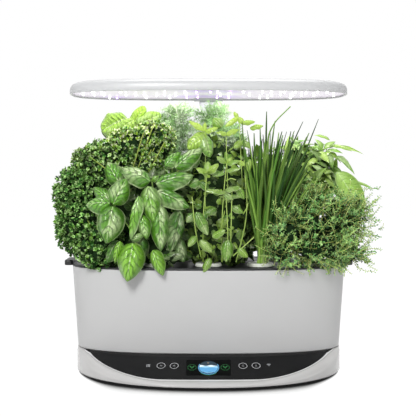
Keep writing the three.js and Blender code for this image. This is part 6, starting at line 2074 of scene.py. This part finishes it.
THAI_BASIL_LEAVES = [
    ((330, 140, 42), (315.5, 133, 36), 4.5, 0.5, 0, (0, -0.7, 0.7)),
    ((322, 150, 40), (316, 139, 34), 6, 0.3, 0, (0, -0.8, 0.6)),
    ((324, 149, 40), (334, 140, 36), 6, 0.3, 0, (0, -0.8, 0.6)),
    ((323, 150, 42), (309, 145, 46), 7, 0.2, 0.1, (0, -0.7, 0.7)),
    ((330, 146, 42), (363.8, 153, 40), 5.5, 0.6, 0, (0, -0.6, 0.8)),
    ((331, 145, 44), (352, 149, 30), 6, 0.5, 0, (0, -0.6, 0.8)),
    ((326, 151, 40), (343, 152.5, 34), 5, 0.2, 0, (0, -0.7, 0.7)),
    ((336, 156, 40), (355.5, 174, 38), 5.5, 0.1, 0.1, (0.2, -0.8, 0.5)),
    ((337, 156, 44), (352, 162, 52), 5, 0.2, 0.1, (0, -0.7, 0.7)),
    ((322, 151, 44), (314, 162, 38), 7, 0.15, 0.15, (-0.2, -0.9, 0.3)),
    ((327, 153, 38), (334, 166, 30), 8, 0.15, 0.15, (0.2, -0.9, 0.3)),
    ((352, 181, 44), (373, 187, 42), 4.5, 0.3, 0, (0, -0.7, 0.7)),
    ((310, 146, 46), (317, 168, 44), 11, 0.2, 0.25, (0, -0.95, 0.2)),
    ((323, 150, 48), (336, 142, 66), 8, 0.3, 0, (0, 0.6, 0.8)),
    ((322, 150, 50), (308, 147, 70), 8, 0.3, 0, (0, 0.6, 0.8)),
    ((324, 154, 50), (330, 166, 72), 9, 0.2, 0.1, (0, 0.9, 0.4)),
]


THAI_BASIL_BROAD_LEAVES = [
    ((337, 172, 30), (364, 213, 22), 22, 0.45, 0.0, (0.1, -0.97, 0.2)),
    ((334, 172, 44), (324, 192, 40), 15, 0.05, 0.35, (-0.2, -0.9, 0.3)),
    ((336, 174, 50), (344, 200, 66), 18, 0.2, 0.2, (0, 0.9, 0.3)),
    ((312, 170, 44), (300, 186, 40), 13, 0.05, 0.3, (-0.2, -0.9, 0.3)),
]


THAI_BASIL_STEMS = [
    [(281, 262, 42), (305, 200, 46), (323, 150, 42)],
    [(283, 262, 44), (315, 205, 48), (338, 172, 46)],
    [(323, 150, 42), (328, 146, 43), (331, 144, 44)],
    [(322, 160, 44), (330, 157, 42), (337, 156, 42)],
]


class GARDEN_OT_thai_basil(bpy.types.Operator):
    """Long-leaved basil: pointed, arching leaves at the back"""

    bl_idname = "garden.thai_basil"
    bl_label = "Long-leaved basil"

    def execute(self, context):
        herbs, sight, foliage = planting(context, 80)
        forms = [
            leaf_form(0.7, 1.0, 8, 18, cup=c, arch=0.3, droop=d, pucker=0.03, veins=8, wave=0.06, phase=p)
            for c, d, p in ((-0.2, 0.5, 0), (0.2, 0.3, 2), (-0.1, 0.8, 4))
        ]
        broad = [leaf_form(0.55, 0.7, 10, 18, cup=0.25, arch=0.1, droop=0.2, pucker=0.04, veins=6)]
        sight.leaves(foliage, forms, THAI_BASIL_LEAVES)
        sight.leaves(foliage, broad, THAI_BASIL_BROAD_LEAVES)
        heap = [
            ((172, 47, 316), (22, 18, 20)), ((174, 47, 288), (30, 22, 28)), ((150, 46, 262), (32, 24, 36)),
            ((122, 44, 212), (32, 22, 34)), ((138, 44, 312), (28, 20, 26)), ((98, 42, 300), (30, 18, 34)),
            ((84, 42, 250), (32, 18, 36)), ((74, 42, 200), (30, 18, 34)),
        ]
        places, outward, _ = on_balls(foliage.draw, heap, 420)
        tones = chance_tones(foliage.draw, len(places), (0.0, 0.9), (-0.5, 0.6))
        foliage.core(heap, 0.6, (0.2, 0.0, 0.97))
        outward_leaves(foliage, forms, places - outward * (8 * MM), outward, 28, 12.5, tones, 0.5, 0.1)
        sight.stems(foliage, THAI_BASIL_STEMS, 1.5, (0.5, 0.4, 0.0))
        leaf = leaf_finish("long_basil_blade", herbs.long_leaf, 0.5, "c6e470", "e8f8c4", 0.36, 8.0, 0.5, 1.3, 0.7)
        stem = stem_finish("long_basil_stem", "7c9a4a", "a3c060")
        return hand_over(foliage, "thai_basil", [leaf, stem], "thai_leaf")


class GARDEN_PT_sidebar(bpy.types.Panel):
    """Lists the garden's pieces"""

    bl_idname = "GARDEN_PT_sidebar"
    bl_label = "Garden"
    bl_space_type = "VIEW_3D"
    bl_region_type = "UI"
    bl_category = "Garden"

    def draw(self, context):
        for operator in OPERATORS:
            self.layout.operator(operator.bl_idname)
        for name in SETTINGS:
            group = getattr(context.scene, name)
            box = self.layout.box()
            for setting in group.bl_rna.properties:
                if setting.identifier not in ("rna_type", "name"):
                    box.prop(group, setting.identifier)


SETTINGS = {
    "garden_shell": GardenShellSettings,
    "garden_lamp": GardenLampSettings,
    "garden_herbs": GardenHerbSettings,
    "garden_stage": GardenStageSettings,
}
OPERATORS = (
    GARDEN_OT_stage,
    GARDEN_OT_base,
    GARDEN_OT_panel,
    GARDEN_OT_bowl,
    GARDEN_OT_deck,
    GARDEN_OT_pods,
    GARDEN_OT_hood,
    GARDEN_OT_arm,
    GARDEN_OT_fittings,
    GARDEN_OT_parsley,
    GARDEN_OT_basil,
    GARDEN_OT_mint,
    GARDEN_OT_chives,
    GARDEN_OT_thyme,
    GARDEN_OT_broad_basil,
    GARDEN_OT_dills,
    GARDEN_OT_thai_basil,
)


def register():
    for kind in (*SETTINGS.values(), *OPERATORS, GARDEN_PT_sidebar):
        bpy.utils.register_class(kind)
    for name, kind in SETTINGS.items():
        setattr(bpy.types.Scene, name, bpy.props.PointerProperty(type=kind))


def unregister():
    for name in SETTINGS:
        delattr(bpy.types.Scene, name)
    for kind in (GARDEN_PT_sidebar, *reversed(OPERATORS), *SETTINGS.values()):
        bpy.utils.unregister_class(kind)


def main():
    register()
    for operator in OPERATORS:
        group, name = operator.bl_idname.split(".")
        getattr(getattr(bpy.ops, group), name)()


if __name__ == "__main__":
    main()
